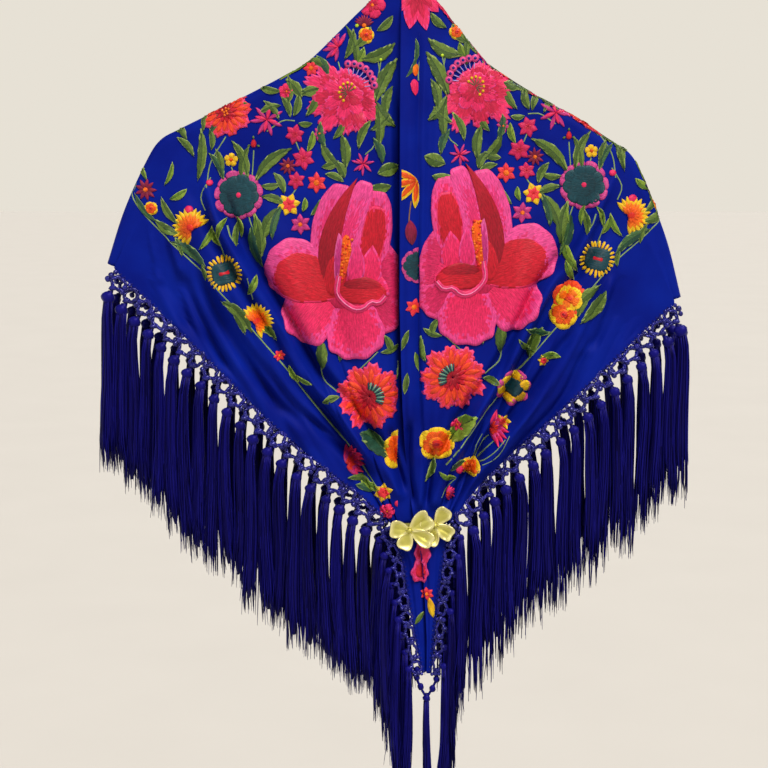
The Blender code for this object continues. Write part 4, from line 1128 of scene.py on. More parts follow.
# Silk floss: smooth untwisted filament that lies in flat parallel threads, so it shines across
# them. The thread colour is in the mesh. Threads are drawn at 1 mm, coarser than the real ones.
silk_floss, tree, shader = new_material("silk floss embroidery, satin stitch", Roughness=0.5,
                                        Specular_IOR_Level=0.25)
dyed = add_node(tree, "ShaderNodeAttribute", {"attribute_name": "thread"})
sewn = add_node(tree, "ShaderNodeUVMap", {"uv_map": "stitches"})
laid = add_node(tree, "ShaderNodeMapping", {}, {"Vector": sewn.outputs["UV"]},
                Scale=(1 / STITCH_WIDTH, 1 / STITCH_LENGTH, 1.0))
strand = add_node(tree, "ShaderNodeTexNoise", {"noise_dimensions": "2D"},
                  {"Vector": laid.outputs["Vector"]}, Scale=1.0, Detail=2.0, Roughness=0.6)
tone = add_node(tree, "ShaderNodeMapRange", {}, {"Value": strand.outputs["Fac"]}, From_Min=0.3,
                From_Max=0.7, To_Min=0.72, To_Max=1.18)
shaded = add_node(tree, "ShaderNodeVectorMath", {"operation": "SCALE"},
                  {"Vector": dyed.outputs["Color"], "Scale": tone.outputs["Result"]})
ridge = add_node(tree, "ShaderNodeBump", {}, {"Height": strand.outputs["Fac"]}, Strength=0.7,
                 Distance=0.5 * MM)
tree.links.new(shaded.outputs["Vector"], shader.inputs["Base Color"])
tree.links.new(ridge.outputs["Normal"], shader.inputs["Normal"])


def sew(name, patches, side, surface):
    """The patches laid on the cloth, as one piece. side is -1 on the front and +1 on the back."""
    vertices = []
    faces = []
    uvs = []
    colours = []
    ray = Vector((0, -side, 0))
    for part in patches:
        first = len(vertices)
        for (x, drop), height in zip(part.points, part.heights):
            start = Vector(at((x, side * RAY_START, drop)))
            spot, normal, _, _ = surface.ray_cast(start, ray)
            if spot is None or spot.y * side < 0:
                depth = HEM_DEPTH if spot else ROLL_RADIUS
                spot, normal, _, _ = surface.find_nearest(Vector(at((x, side * depth, drop))))
            if normal.y * side < -0.2:
                normal = -normal
            normal = (normal + Vector((0, side, 0))).normalized()
            vertices.append(spot + normal * height * MM)
        outward = part.faces if side < 0 else [face[::-1] for face in part.faces]
        faces += [tuple(first + k for k in face) for face in outward]
        for face, colour in zip(outward, part.colours):
            colours += [(*colour, 1.0)] * len(face)
            uvs += [part.uvs[k] for k in face]
    data = bpy.data.meshes.new(name)
    data.from_pydata([tuple(vertex) for vertex in vertices], [], faces)
    data.shade_smooth()
    layer = data.uv_layers.new(name="stitches")
    layer.data.foreach_set("uv", np.array(uvs, np.float32).ravel())
    thread = data.color_attributes.new("thread", "FLOAT_COLOR", "CORNER")
    thread.data.foreach_set("color", np.array(colours, np.float32).ravel())
    data.materials.append(silk_floss)
    piece = bpy.data.objects.new(name, data)
    bpy.context.scene.collection.objects.link(piece)
    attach(piece, "root")
    return piece


tail_vertices = []
tail_faces = []
for sign in (-1, 1):
    tail_faces += grid_faces(TAIL_ROWS + 1, TAIL_COLUMNS + 1, len(tail_vertices), sign < 0)
    tail_vertices += [Vector(point) for point in at(tails[sign]).reshape(-1, 3)]
tails_surface = BVHTree.FromPolygons(tail_vertices, tail_faces)
embroidery = [
    sew("embroidery_strip", strip_embroidery(), -1, cloth_surface),
    sew("embroidery_tails", tail_embroidery(), -1, tails_surface),
    sew("embroidery_front_left", half_of_embroidery(-1, limit=LEFT_LIMIT), -1, cloth_surface),
    sew("embroidery_front_right", half_of_embroidery(1, MIRROR_MIDDLE, MIRROR_RISE, RIGHT_LIMIT),
        -1, cloth_surface),
    sew("embroidery_back_left", half_of_embroidery(-1), 1, cloth_surface),
    sew("embroidery_back_right", half_of_embroidery(1, rise=BACK_RISE), 1, cloth_surface),
]


# The knotted net
# Cords of twisted silk, hitched through the hem and tied into a row of round loops. Where two
# loops meet, and below each one, they are gathered in a knot. The tails have flatter loops.

FRINGE_PITCH = 18.5
NET_GAP = 0.6
NET_REACH = 17.0
TAIL_NET_REACH = 12.0
TAIL_NET_START = 4.0
STRANDS = 3
STRAND_WIND = 1.1
STRAND_STEPS = 26
CORD_RADIUS = 1.1
HOLE_RADIUS = 6.5
HOLE_OUT = 6.6
HOLE_CORNERS = 5
CORNER_SHARE = 0.10
LOWER_KNOT_OUT = 13.6
LOWER_KNOT_SIZE = 3.3
HEM_STITCH_PITCH = 2.4
HEM_STITCH_RADIUS = 0.42
HEM_STITCH_DEPTH = -0.75
HEM_STITCH_INNER = -3.2
HEM_STITCH_OUTER = 1.5

# The hitches between two loops: how far out of the hem each one lies, and its half size.
HITCHES = ((0.4, 2.1), (5.4, 3.1), (10.4, 2.7))

# An edge with fringe. sign is its side, slide shifts its loops along it, and tail_ends are the x
# where the first and the last tassel of a tail hang.
Edge = namedtuple("Edge", "name sign points pitch slide reach tail_ends",
                  defaults=(FRINGE_PITCH, 0, NET_REACH, None))
fringe_random = np.random.default_rng(5)


def hem_points(grid, first=0):
    """The lower edge of a panel, in the middle of the cloth."""
    points = grid[-1, first:].copy()
    points[:, 1] -= np.sign(points[:, 1]) * CREPE_THICKNESS / 2
    return points


def tail_edge(sign):
    """The outer edge of a tail, from its point up to the brooch."""
    points = tails[sign][::-1, 0] + [0, CREPE_THICKNESS / 2, 0]
    points[-1, 2] += TAIL_NET_START
    return points


hem_from = int(np.searchsorted(SHARES, GATHER_SHARE - 1e-6))
EDGES = (
    Edge("front_left", -1, hem_points(fronts[-1], hem_from)),
    Edge("front_right", 1, hem_points(fronts[1], hem_from)),
    Edge("back_left", -1, hem_points(backs[-1]), pitch=19.4, slide=-6),
    Edge("back_right", 1, hem_points(backs[1]), pitch=20.6, slide=-3.5),
    Edge("tail_left", -1, tail_edge(-1), reach=TAIL_NET_REACH, tail_ends=(6, -25)),
    Edge("tail_right", 1, tail_edge(1), reach=TAIL_NET_REACH, tail_ends=(43, 60)),
)


def measure(edge):
    """The length of an edge, how many loops it has, and the pitch that fits them in."""
    length = np.linalg.norm(np.diff(edge.points[:, [0, 2]], axis=0), axis=1).sum()
    loops = round(length / edge.pitch)
    return length, loops, length / loops


def beside_edge(edge, distance, out, depth=0.0):
    """Points this far along an edge and out of the cloth, with the directions out and along."""
    length, _, _ = measure(edge)
    distance = np.asarray(distance, float)
    half = FRINGE_PITCH / 2
    shares = [np.clip(distance + step, 0, length) / length for step in (-half, 0.0, half)]
    before, here, after = (along_line(edge.points, share) for share in shares)
    along = unit((after - before)[..., [0, 2]])
    outward = edge.sign * np.stack([-along[..., 1], along[..., 0]], axis=-1)
    over = distance - np.clip(distance, 0, length)
    away = outward * np.asarray(NET_GAP + out)[..., None]
    flat = here[..., [0, 2]] + away + along * over[..., None]
    return np.stack([flat[..., 0], here[..., 1] + depth, flat[..., 1]], axis=-1), outward, along


def ring_faces(rows, sides, first=0):
    """Quads between closed rings of points, one ring after another from this first point on."""
    faces = []
    for row in range(rows):
        for k in range(sides):
            a = first + row * sides + k
            b = first + row * sides + (k + 1) % sides
            faces.append((a, b, b + sides, a + sides))
    return faces


def tubes(lines, radii, sides):
    """Closed tubes along lines of points. lines is (tube, point, xyz), radii (tube, point)."""
    lines = np.asarray(lines, float)
    count, steps = lines.shape[:2]
    tangent = unit(np.gradient(lines, axis=1) + 1e-9)
    aside = unit(np.cross(tangent, (0.0, 1.0, 0.0)) + (1e-7, 0, 0))
    above = np.cross(aside, tangent)
    turn = np.linspace(0, 2 * math.pi, sides, endpoint=False)[:, None]
    radii = np.broadcast_to(np.asarray(radii, float), (count, steps))[..., None, None]
    spokes = np.cos(turn) * aside[:, :, None] + np.sin(turn) * above[:, :, None]
    rings = lines[:, :, None] + radii * spokes
    size = steps * sides
    faces = [tuple(range(sides))[::-1], tuple(range(size - sides, size))]
    faces += ring_faces(steps - 1, sides)
    every = [tuple(k * size + i for i in face) for k in range(count) for face in faces]
    return rings.reshape(-1, 3), every


def lump(middle, across, down, deep, lobes=3.0, steps=(9, 5)):
    """A knot: an egg with slanting ridges where the cords lap. across and down are half sizes."""
    around, rows = steps
    ring = np.linspace(0, 2 * math.pi, around, endpoint=False)
    vertices = [middle + (0, 0, -down)]
    for row in range(1, rows):
        high = math.pi * row / rows
        swell = 1 + 0.13 * np.cos(lobes * ring + 2.6 * high)
        vertices += list(np.stack([middle[0] + across * np.sin(high) * np.cos(ring) * swell,
                                   middle[1] + deep * np.sin(high) * np.sin(ring) * swell,
                                   middle[2] - down * np.cos(high) * np.ones(around)], axis=-1))
    vertices.append(middle + (0, 0, down))
    last = len(vertices) - 1
    top_ring = last - around
    faces = ring_faces(rows - 2, around, 1)
    for k in range(around):
        after = (k + 1) % around
        faces += [(0, 1 + after, 1 + k), (top_ring + k, top_ring + after, last)]
    return np.array(vertices), faces


class Skein:
    """Threads and knots gathered into one mesh, each with its own shade of the dye."""

    def __init__(self):
        self.vertices, self.faces, self.shades = [], [], []

    def add(self, vertices, faces, shade):
        """Take in a thread or a knot, with one shade or a shade for each vertex."""
        first = len(self.vertices)
        self.vertices += list(vertices)
        self.faces += [tuple(first + k for k in face) for face in faces]
        self.shades += list(np.broadcast_to(shade, len(vertices)))

    def finish(self, name, material, node):
        """The mesh as a piece of fringe that stands for this node."""
        piece = new_mesh_object(name, at(np.array(self.vertices)), self.faces, material)
        shade = piece.data.attributes.new("shade", "FLOAT", "POINT")
        shade.data.foreach_set("value", np.array(self.shades, np.float32))
        select_only(piece)
        bpy.ops.object.mode_set(mode="EDIT")
        bpy.ops.mesh.select_all(action="SELECT")
        bpy.ops.mesh.normals_make_consistent(inside=False)
        bpy.ops.object.mode_set(mode="OBJECT")
        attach(piece, "root")
        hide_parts(node)
        return piece


# Twisted silk cord, dyed deep blue: lustrous, so its turns catch violet light. The twist is drawn
# at 2 mm. The same silk hangs untwisted in the tassels.
cord_silk, tree, shader = new_material(
    "twisted silk cord, dyed deep blue", Roughness=0.24, Specular_IOR_Level=1.0,
    Specular_Tint=(*linear("#a4a6ff"), 1), Sheen_Weight=0.06, Sheen_Tint=(*linear("#a8a6ff"), 1))
place = add_node(tree, "ShaderNodeTexCoord")
depth = add_node(tree, "ShaderNodeAttribute", {"attribute_name": "shade"})
twist = add_node(tree, "ShaderNodeTexWave", {"bands_direction": "DIAGONAL"},
                 {"Vector": place.outputs["Object"]}, Scale=0.31 / (2.0 * MM), Distortion=2.5,
                 Detail=1.0)
dye = add_node(tree, "ShaderNodeValToRGB", {}, {"Fac": depth.outputs["Fac"]},
               ((0.0, "#05052e"), (1.0, "#1e1e86")))
turns = add_node(tree, "ShaderNodeBump", {}, {"Height": twist.outputs["Fac"]}, Strength=0.6,
                 Distance=0.5 * MM)
tree.links.new(dye.outputs["Color"], shader.inputs["Base Color"])
tree.links.new(turns.outputs["Normal"], shader.inputs["Normal"])

for edge in EDGES:
    length, loops, pitch = measure(edge)
    shrink = edge.reach / NET_REACH
    net = Skein()
    turn = np.linspace(0, 2 * math.pi * (1 + 1.5 / STRAND_STEPS), STRAND_STEPS)
    # The round loops, each of strands wound about each other.
    for i in range(loops):
        squash, lean, tilt, phase = fringe_random.uniform((0.78, -1.3, -1.2, 0), (1.2, 1.3, 1.2, 6))
        corners = 1 + CORNER_SHARE * np.cos(HOLE_CORNERS * turn + phase)
        for strand in range(STRANDS):
            lay = (3 + i % 2) * turn + 2 * math.pi * strand / STRANDS
            radius = HOLE_RADIUS * corners + STRAND_WIND * np.cos(lay)
            travel = edge.slide + (i + 0.5) * pitch + lean + radius * np.sin(turn) / squash
            out = (HOLE_OUT - radius * np.cos(turn) * squash) * shrink
            ring_depth = STRAND_WIND * shrink * np.sin(lay) + tilt * np.sin(turn)
            line, _, _ = beside_edge(edge, travel, out, ring_depth)
            cord = tubes([line], CORD_RADIUS * (0.3 + 0.7 * shrink), 5)
            net.add(*cord, fringe_random.uniform(0.2, 0.9))
    # Fine stitches over the hem, the hitches between loops, and the knot below each loop.
    stitches = np.arange(0, length, HEM_STITCH_PITCH)
    zigzag = np.where(np.arange(len(stitches)) % 2, HEM_STITCH_INNER, HEM_STITCH_OUTER)
    line, _, _ = beside_edge(edge, stitches, zigzag, HEM_STITCH_DEPTH)
    net.add(*tubes([line], HEM_STITCH_RADIUS, 4), 0.75)
    for i in range(loops + 1):
        for out, half_size in HITCHES:
            aside = fringe_random.uniform(-1.1, 1.1)
            spot, _, _ = beside_edge(edge, edge.slide + i * pitch + aside, out * shrink, aside / 2)
            size = half_size * (0.55 + 0.45 * shrink) * fringe_random.uniform(0.9, 1.15)
            net.add(*lump(spot, size, size * 1.05, size * 0.95), fringe_random.uniform(0.25, 0.7))
    for i in range(loops):
        spot, _, _ = beside_edge(edge, edge.slide + (i + 0.5) * pitch, LOWER_KNOT_OUT * shrink)
        size = LOWER_KNOT_SIZE * (0.3 + 0.7 * shrink) * fringe_random.uniform(0.9, 1.12)
        knot = lump(spot, size * 1.45, size * 0.85, size * 1.1, 2.0)
        net.add(*knot, fringe_random.uniform(0.3, 0.7))
    net.finish(f"net_{edge.name}", cord_silk, f"fringe_{edge.name}")


# The tassels
# Under each knot the silk is tied once more into a round head and falls in a thick lock of
# untwisted threads. The ends are cut by hand, so they are uneven, and a few threads stray.

TASSEL_LENGTH = 178.0
TASSEL_SETTLE = 12.0
TASSEL_SWING = 9.0
CROWDING = 2.2
LAST_FRONT_SCALE = 1.15
FIRST_BACK_SHARE = 0.84
TAIL_TASSEL_SCALE = 0.72
TAIL_TASSEL_LAYER = 5.4
THREADS = 52
THREAD_STEPS = 9
THREAD_RADIUS = 0.62
THREAD_START = 0.045
THREAD_WAVE_ACROSS = 0.9
THREAD_WAVE_DEEP = 0.8
STRAY_SHARE = 0.07
STRAY_REACH = 9.0
HEAD_DROP = 7.5
HEAD_SIZE = np.array((5.6, 5.4, 4.3))

# Where the threads of a tassel end, as shares of its length. Those on the right are more ragged.
# The lock in its middle reaches a little past the shortest thread, thins out there, and fills this
# share of the tassel's width and depth, which are given at some shares of its length.
SHORTEST = 0.88
RAGGED_SHORTEST = 0.76
LONGEST = 1.05
LOCK_BEYOND = 0.07
LOCK_FILL = 0.86
LOCK_THINS_AT = 0.85
LOCK_STEPS = 11
LOCK_SIDES = 8
LOCK_WAVE = 2.8
LOCK_WAVE_LENGTH = 34.0
LOCK_AT = (0.0, 0.05, 0.10, 0.16, 0.30, 0.60, 1.0)
LOCK_WIDTH = (6.5, 7.8, 8.4, 9.2, 10.8, 12.8, 14.6)
LOCK_DEPTH = (5.5, 6.4, 6.0, 6.2, 6.8, 7.4, 8.0)

# The last tassels of each front's hem hang behind the tails. They leave one place behind the brooch
# and settle at these x.
HIDDEN_TASSELS = {"tail_left": (-19.0, -12.0, -5.0, 3.0), "tail_right": (45.0, 51.0, 57.0)}
HIDDEN_FRONT = 20.0
HIDDEN_DROP = 552.0
HIDDEN_SCALE = 0.9
HIDDEN_SHARE = 0.93

# The tassel at the tip hangs from two cords. Each has knots this far from its middle, at these
# drops, and ends in the tassel's head.
TIP_X = 25.2
TIP_OUT = 28.5
TIP_DROP = 722.0
TIP_SCALE = 0.72
TIP_LENGTH = 190.0
TIP_CORD_RADIUS = 1.3
TIP_KNOT = (3.4, 4.0, 3.2)
TIP_CHAIN = ((9.5, 698), (10, 706), (6, 716), (0, 727))


def hang(root, outward_drop, end, along):
    """Points on a tassel that leaves its knot outward and settles until it hangs plumb."""
    settled = 1 - np.exp(-along / TASSEL_SETTLE)
    flat = root[:2] + (np.array(end) - root[:2]) * settled[..., None]
    drop = root[2] + along - (1 - outward_drop) * TASSEL_SETTLE * settled
    return np.concatenate([flat, drop[..., None]], axis=-1)


def add_tassel(skein, root, outward_drop, end, scale, length, shortest=SHORTEST):
    """The head, the lock of silk in the middle and the threads that show round it."""
    reach = (shortest + LOCK_BEYOND) * length * np.linspace(0, 1, LOCK_STEPS)
    middle = hang(root, outward_drop, end, reach)
    rolling = fringe_random.uniform(0, 6)
    wave = LOCK_WAVE * np.sin(reach / LOCK_WAVE_LENGTH + rolling) * reach / length
    middle[:, 0] += wave
    share = reach / length
    full = scale * fringe_random.uniform(0.84, 1.10)
    taper = 1 - 0.8 * ease((reach / reach[-1] - LOCK_THINS_AT) / (1 - LOCK_THINS_AT))
    width = np.interp(share, LOCK_AT, LOCK_WIDTH) * full * taper / 2 * LOCK_FILL
    deep = np.interp(share, LOCK_AT, LOCK_DEPTH) * scale * taper / 2 * LOCK_FILL
    turn = np.linspace(0, 2 * math.pi, LOCK_SIDES, endpoint=False)[:, None]
    ring = np.concatenate([np.cos(turn), np.sin(turn), 0 * turn], axis=-1)
    sizes = np.stack([width, deep, np.zeros_like(width)], axis=-1)
    lock = middle[:, None] + ring * sizes[:, None]
    count = LOCK_STEPS * LOCK_SIDES
    faces = ring_faces(LOCK_STEPS - 1, LOCK_SIDES)
    faces += [tuple(range(LOCK_SIDES))[::-1], tuple(range(count - LOCK_SIDES, count))]
    skein.add(lock.reshape(-1, 3), faces, fringe_random.uniform(0.05, 0.3))

    turn = fringe_random.uniform(0, 2 * math.pi, THREADS)
    off = np.sqrt(fringe_random.uniform(0.55, 1.15, THREADS))
    ends = length * fringe_random.uniform(shortest, LONGEST, THREADS)
    along = ends[:, None] * np.linspace(THREAD_START, 1, THREAD_STEPS)
    share = along / length
    lines = hang(root, outward_drop, end, along)
    wide = np.interp(share, LOCK_AT, LOCK_WIDTH) * full / 2
    thick = np.interp(share, LOCK_AT, LOCK_DEPTH) * scale / 2
    rolling = fringe_random.uniform(0, 6, (THREADS, 1))
    lines[..., 0] += np.interp(along, reach, wave) + wide * (off * np.cos(turn))[:, None]
    lines[..., 0] += THREAD_WAVE_ACROSS * np.sin(along / 21 + rolling) * share
    lines[..., 1] += (thick * (off * np.sin(turn))[:, None]
                      + THREAD_WAVE_DEEP * np.cos(along / 27 + rolling) * share)
    strays = fringe_random.random(THREADS) < STRAY_SHARE
    stray = np.where(strays, fringe_random.uniform(-STRAY_REACH, STRAY_REACH, THREADS), 0)
    lines[..., 0] += stray[:, None] * share**3
    taper = np.interp(np.linspace(0, 1, THREAD_STEPS), (0, 0.9, 1), (1, 1, 0.35))
    shades = fringe_random.uniform(0.0, 1.0, THREADS) ** 2
    skein.add(*tubes(lines, THREAD_RADIUS * (0.6 + 0.4 * scale) * taper, 3),
              np.repeat(shades, THREAD_STEPS * 3))
    head = hang(root, outward_drop, end, np.array([HEAD_DROP * scale]))[0]
    size = scale * fringe_random.uniform(0.92, 1.1)
    skein.add(*lump(head, *(HEAD_SIZE * size), 3.0, (12, 7)), fringe_random.uniform(0.3, 0.8))


# Untwisted silk: each thread is smooth and dark, with a long violet glint along it from its tinted
# reflection. The long lighter streaks in its colour are painted glint over the threads' own shades.
# The threads are drawn at 1.2 mm, coarser than the real ones.
thread_silk, tree, shader = new_material(
    "untwisted silk threads, dyed deep blue", Roughness=0.40, Specular_IOR_Level=0.28,
    Specular_Tint=(*linear("#8078f0"), 1))
place = add_node(tree, "ShaderNodeTexCoord")
depth = add_node(tree, "ShaderNodeAttribute", {"attribute_name": "shade"})
drawn = add_node(tree, "ShaderNodeMapping", {}, {"Vector": place.outputs["Object"]},
                 Scale=(1 / (0.8 * MM), 1 / (0.8 * MM), 1 / (45 * MM)))
streak = add_node(tree, "ShaderNodeTexNoise", {}, {"Vector": drawn.outputs["Vector"]}, Scale=1.0,
                  Detail=2.0)
# Painted glint: the long streaks, added to each thread's own shade, make the colour lighter along
# the threads.
tone_and_painted_glint = add_node(tree, "ShaderNodeMath", {"operation": "MULTIPLY_ADD"},
                {"Value": streak.outputs["Fac"]})
tone_and_painted_glint.inputs[1].default_value = 0.9
tree.links.new(depth.outputs["Fac"], tone_and_painted_glint.inputs[2])
dye = add_node(tree, "ShaderNodeValToRGB", {}, {"Fac": tone_and_painted_glint.outputs["Value"]},
               ((0.30, "#03021c"), (1.45 / 1.5, "#100f66")))
glint = add_node(tree, "ShaderNodeBump", {}, {"Height": streak.outputs["Fac"]}, Strength=0.5,
                 Distance=0.4 * MM)
tree.links.new(dye.outputs["Color"], shader.inputs["Base Color"])
tree.links.new(glint.outputs["Normal"], shader.inputs["Normal"])

for edge in EDGES:
    length, loops, pitch = measure(edge)
    skein = Skein()
    for i in range(loops):
        root, outward, _ = beside_edge(edge, edge.slide + (i + 0.5) * pitch, edge.reach)
        crowd = CROWDING * fringe_random.uniform(-1, 1)
        swing = np.array([root[0] + TASSEL_SWING * outward[0] + crowd, root[1]])
        scale = 1.0
        if edge.tail_ends:
            layer = TAIL_TASSEL_LAYER * (i % 3 - 1)
            swing = np.array([np.interp(i / (loops - 1), (0, 1), edge.tail_ends), root[1] + layer])
            scale = TAIL_TASSEL_SCALE
        elif i >= loops - 2 and edge.name.startswith("front"):
            scale = LAST_FRONT_SCALE
        drop_length = TASSEL_LENGTH * fringe_random.uniform(0.95, 1.03)
        if i == 0 and edge.name.startswith("back"):
            drop_length *= FIRST_BACK_SHARE
        shortest = RAGGED_SHORTEST if edge.sign > 0 else SHORTEST
        add_tassel(skein, root, outward[1], swing, scale, drop_length, shortest)
    hidden = HIDDEN_TASSELS.get(edge.name, ())
    for x in hidden:
        root = np.array([np.mean(hidden), -HIDDEN_FRONT, HIDDEN_DROP])
        add_tassel(skein, root, 1.0, (x, root[1]), HIDDEN_SCALE, HIDDEN_SHARE * TASSEL_LENGTH)
    skein.finish(f"tassels_{edge.name}", thread_silk, f"fringe_{edge.name}")

tip = Skein()
tip_root = np.array([TIP_X, -TIP_OUT, TIP_DROP])
for side in (-1, 1):
    chain = [(TIP_X + side * away, -TIP_OUT, drop) for away, drop in TIP_CHAIN]
    tip.add(*tubes([smooth_line(chain, np.linspace(0, 1, 12))], TIP_CORD_RADIUS, 6), 0.6)
    for x, y, drop in chain[:-1]:
        tip.add(*lump(np.array([x, y, drop + side]), *TIP_KNOT), 0.55)
add_tassel(tip, tip_root, 1.0, tip_root[:2], TIP_SCALE, TIP_LENGTH)
tip.finish("tassel_at_the_tip", thread_silk, "tassel_tip")


# The brooch
# Two four-petalled flowers, cast in zinc alloy and plated in pale gold, on a bar with a pin. It
# holds the two gathered fronts together. The petals are cupped, and their rims are polished.

PETAL_THICKNESS = 1.1
PETAL_BASE = 0.44
PETAL_SPREAD = 0.8
NOTCH_DEPTH = 0.07
NOTCH_WIDTH = 0.3
RIPPLES = 5
RIPPLE_DEPTH = 0.02
BAR_FRONT = 33.3
CUP_REACH = 22.0
CUP_DEPTH = 2.4
RIM_CURL = 1.7
CREASE_CUT = 1.6
CREASE_WIDTH = 1.6
PETAL_WAVE = 0.55
PETAL_LAYER = 0.35
HEART_RADIUS = 2.3
HEART_OUT = 1.6
BEAD_COUNT = 7
BEAD_OUT = 1.3
BEAD_RING = 3.1
BEAD_RADIUS = 0.8

BroochPetal = namedtuple("BroochPetal", "angle length width lobes")
BROOCH_LEFT = [BroochPetal(*row) for row in (
    (174, 19.5, 19, 0.4), (250, 20, 16, 0.3), (332, 26, 17, 0.6), (36, 26, 22, 1.2),
)]
BROOCH_RIGHT = [BroochPetal(*row) for row in (
    (55, 21, 16, 0.3), (328, 20.5, 16, 0.7), (256, 21, 15, 0.3), (157, 15, 13, 0.5),
)]
BROOCH_ROWS = 9
BROOCH_SIDES = 40


def brooch_petal(middle, front, petal, order):
    """A cupped petal as vertices, faces, and how near its rim each vertex is."""
    turn = np.linspace(0, 2 * math.pi, BROOCH_SIDES, endpoint=False)
    rho = np.linspace(0, 1, BROOCH_ROWS + 1)[1:, None]
    along = 0.5 - 0.5 * np.cos(turn)
    squared = np.sign(np.sin(turn)) * np.abs(np.sin(turn)) ** 0.8
    across = 0.5 * squared * (PETAL_BASE + PETAL_SPREAD * along)
    notch = 1 - NOTCH_DEPTH * petal.lobes * np.exp(-((turn - math.pi) / NOTCH_WIDTH) ** 2)
    ripple = 1 + RIPPLE_DEPTH * petal.lobes * np.cos(RIPPLES * turn)
    a = 0.5 + rho * (along * notch * ripple - 0.5)
    b = rho * across * ripple
    a, b = np.append(0.5, a), np.append(0.0, b)
    ring = np.append(0.0, np.repeat(rho, BROOCH_SIDES))
    reach = np.hypot(a * petal.length, b * petal.width)
    curl = RIM_CURL * ring**5 * np.clip(a * 1.6, 0, 1)
    crease = CREASE_CUT * np.exp(-((b * petal.width / CREASE_WIDTH) ** 2)) * np.clip(a * 1.5, 0, 1)
    wave = PETAL_WAVE * np.sin(a * 9 + petal.angle) * b * 4
    cup = CUP_DEPTH * (reach / CUP_REACH) ** 2
    high = cup + curl - crease * petal.lobes + wave + PETAL_LAYER * order
    x, drop = ahead_of(*middle, petal.angle, a * petal.length, b * petal.width)
    vertices = at(np.stack([x, -front - high, drop], axis=-1))
    faces = ring_faces(BROOCH_ROWS - 1, BROOCH_SIDES, 1)
    faces += [(0, 1 + (k + 1) % BROOCH_SIDES, 1 + k) for k in range(BROOCH_SIDES)]
    return vertices, faces, ring


# Pale gold plating over a cast flower: satin in the hollows and polished on the rims. Its colour is
# made lighter towards the rims as a painted highlight, and darker in the hollows as painted shade.
gold, tree, shader = new_material("zinc alloy, pale gold plating, satin", Metallic=0.7)
near_rim = add_node(tree, "ShaderNodeAttribute", {"attribute_name": "rim"})
place = add_node(tree, "ShaderNodeTexCoord")
cast = add_node(tree, "ShaderNodeTexNoise", {}, {"Vector": place.outputs["Object"]},
                Scale=1 / (1.6 * MM), Detail=3.0)
# Painted highlight and painted shade: the plating colour runs from darker in the hollows to lighter
# at the rims.
plating = add_node(tree, "ShaderNodeValToRGB", {}, {"Fac": near_rim.outputs["Fac"]},
                   ((0.55, "#c1bb5e"), (0.96, "#ece4a2")))
polish = add_node(tree, "ShaderNodeMapRange", {}, {"Value": near_rim.outputs["Fac"]}, From_Min=0.6,
                  From_Max=1.0, To_Min=0.50, To_Max=0.34)
grain = add_node(tree, "ShaderNodeBump", {}, {"Height": cast.outputs["Fac"]}, Strength=0.35,
                 Distance=0.12 * MM)
tree.links.new(plating.outputs["Color"], shader.inputs["Base Color"])
tree.links.new(polish.outputs["Result"], shader.inputs["Roughness"])
tree.links.new(grain.outputs["Normal"], shader.inputs["Normal"])

for word, middle, lift, petals in (("left", (7.3, 549.7), 4.4, BROOCH_LEFT),
                                   ("right", (32.7, 545.3), 1.5, BROOCH_RIGHT)):
    front = BAR_FRONT + lift
    vertices, faces, rims = [], [], []
    for order, petal in enumerate(petals):
        made, petal_faces, ring = brooch_petal(middle, front, petal, order)
        faces += [tuple(len(vertices) + k for k in face) for face in petal_faces]
        vertices += list(made)
        rims += list(ring)
    flower = new_mesh_object(f"brooch_flower_{word}_cast", vertices, faces, gold)
    attribute = flower.data.attributes.new("rim", "FLOAT", "POINT")
    attribute.data.foreach_set("value", np.array(rims, np.float32))
    apply_modifier(flower, "SOLIDIFY", thickness=PETAL_THICKNESS * MM, offset=-1)
    flower.data.shade_smooth()
    bpy.ops.mesh.primitive_uv_sphere_add(segments=20, ring_count=12, radius=HEART_RADIUS * MM,
                                         location=at((middle[0], -front - HEART_OUT, middle[1])))
    beads = [bpy.context.object]
    for k in range(BEAD_COUNT):
        turn = 2 * math.pi * k / BEAD_COUNT
        spot = (middle[0] + BEAD_RING * math.cos(turn), -front - BEAD_OUT,
                middle[1] + BEAD_RING * math.sin(turn))
        bpy.ops.mesh.primitive_ico_sphere_add(subdivisions=2, radius=BEAD_RADIUS * MM,
                                              location=at(spot))
        beads.append(bpy.context.object)
    for bead in beads:
        bead.data.shade_smooth()
        bead.data.materials.append(gold)
    select_only(*beads, flower)
    bpy.ops.object.join()
    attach(flower, "root")
    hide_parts(f"brooch_flower_{word}")
for material_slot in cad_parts["brooch_bar"].material_slots:
    material_slot.material = gold


# The clothes hanger
# Arms of beech, steamed, sanded and lacquered clear, and a hook of zinc plated steel wire that is
# screwed into their middle. The shawl hides all but the hook.

# Beech under clear lacquer: pale pinkish brown, with short darker flecks along the grain.
beech, tree, shader = new_material("beech, clear lacquer", Roughness=0.42, Coat_Weight=0.35,
                                   Coat_Roughness=0.15)
place = add_node(tree, "ShaderNodeTexCoord")
board = add_node(tree, "ShaderNodeMapping", {}, {"Vector": place.outputs["Object"]},
                 Scale=(1 / (60 * MM), 1 / (5 * MM), 1 / (7 * MM)))
grain = add_node(tree, "ShaderNodeTexNoise", {}, {"Vector": board.outputs["Vector"]}, Scale=1.0,
                 Detail=4.0, Distortion=0.6)
fleck = add_node(tree, "ShaderNodeMapping", {}, {"Vector": place.outputs["Object"]},
                 Scale=(1 / (4 * MM), 1 / (0.8 * MM), 1 / (0.8 * MM)))
flecks = add_node(tree, "ShaderNodeTexNoise", {}, {"Vector": fleck.outputs["Vector"]}, Scale=1.0)
wood = add_node(tree, "ShaderNodeValToRGB", {}, {"Fac": grain.outputs["Fac"]},
                ((0.35, "#b98d62"), (0.65, "#d6b088")))
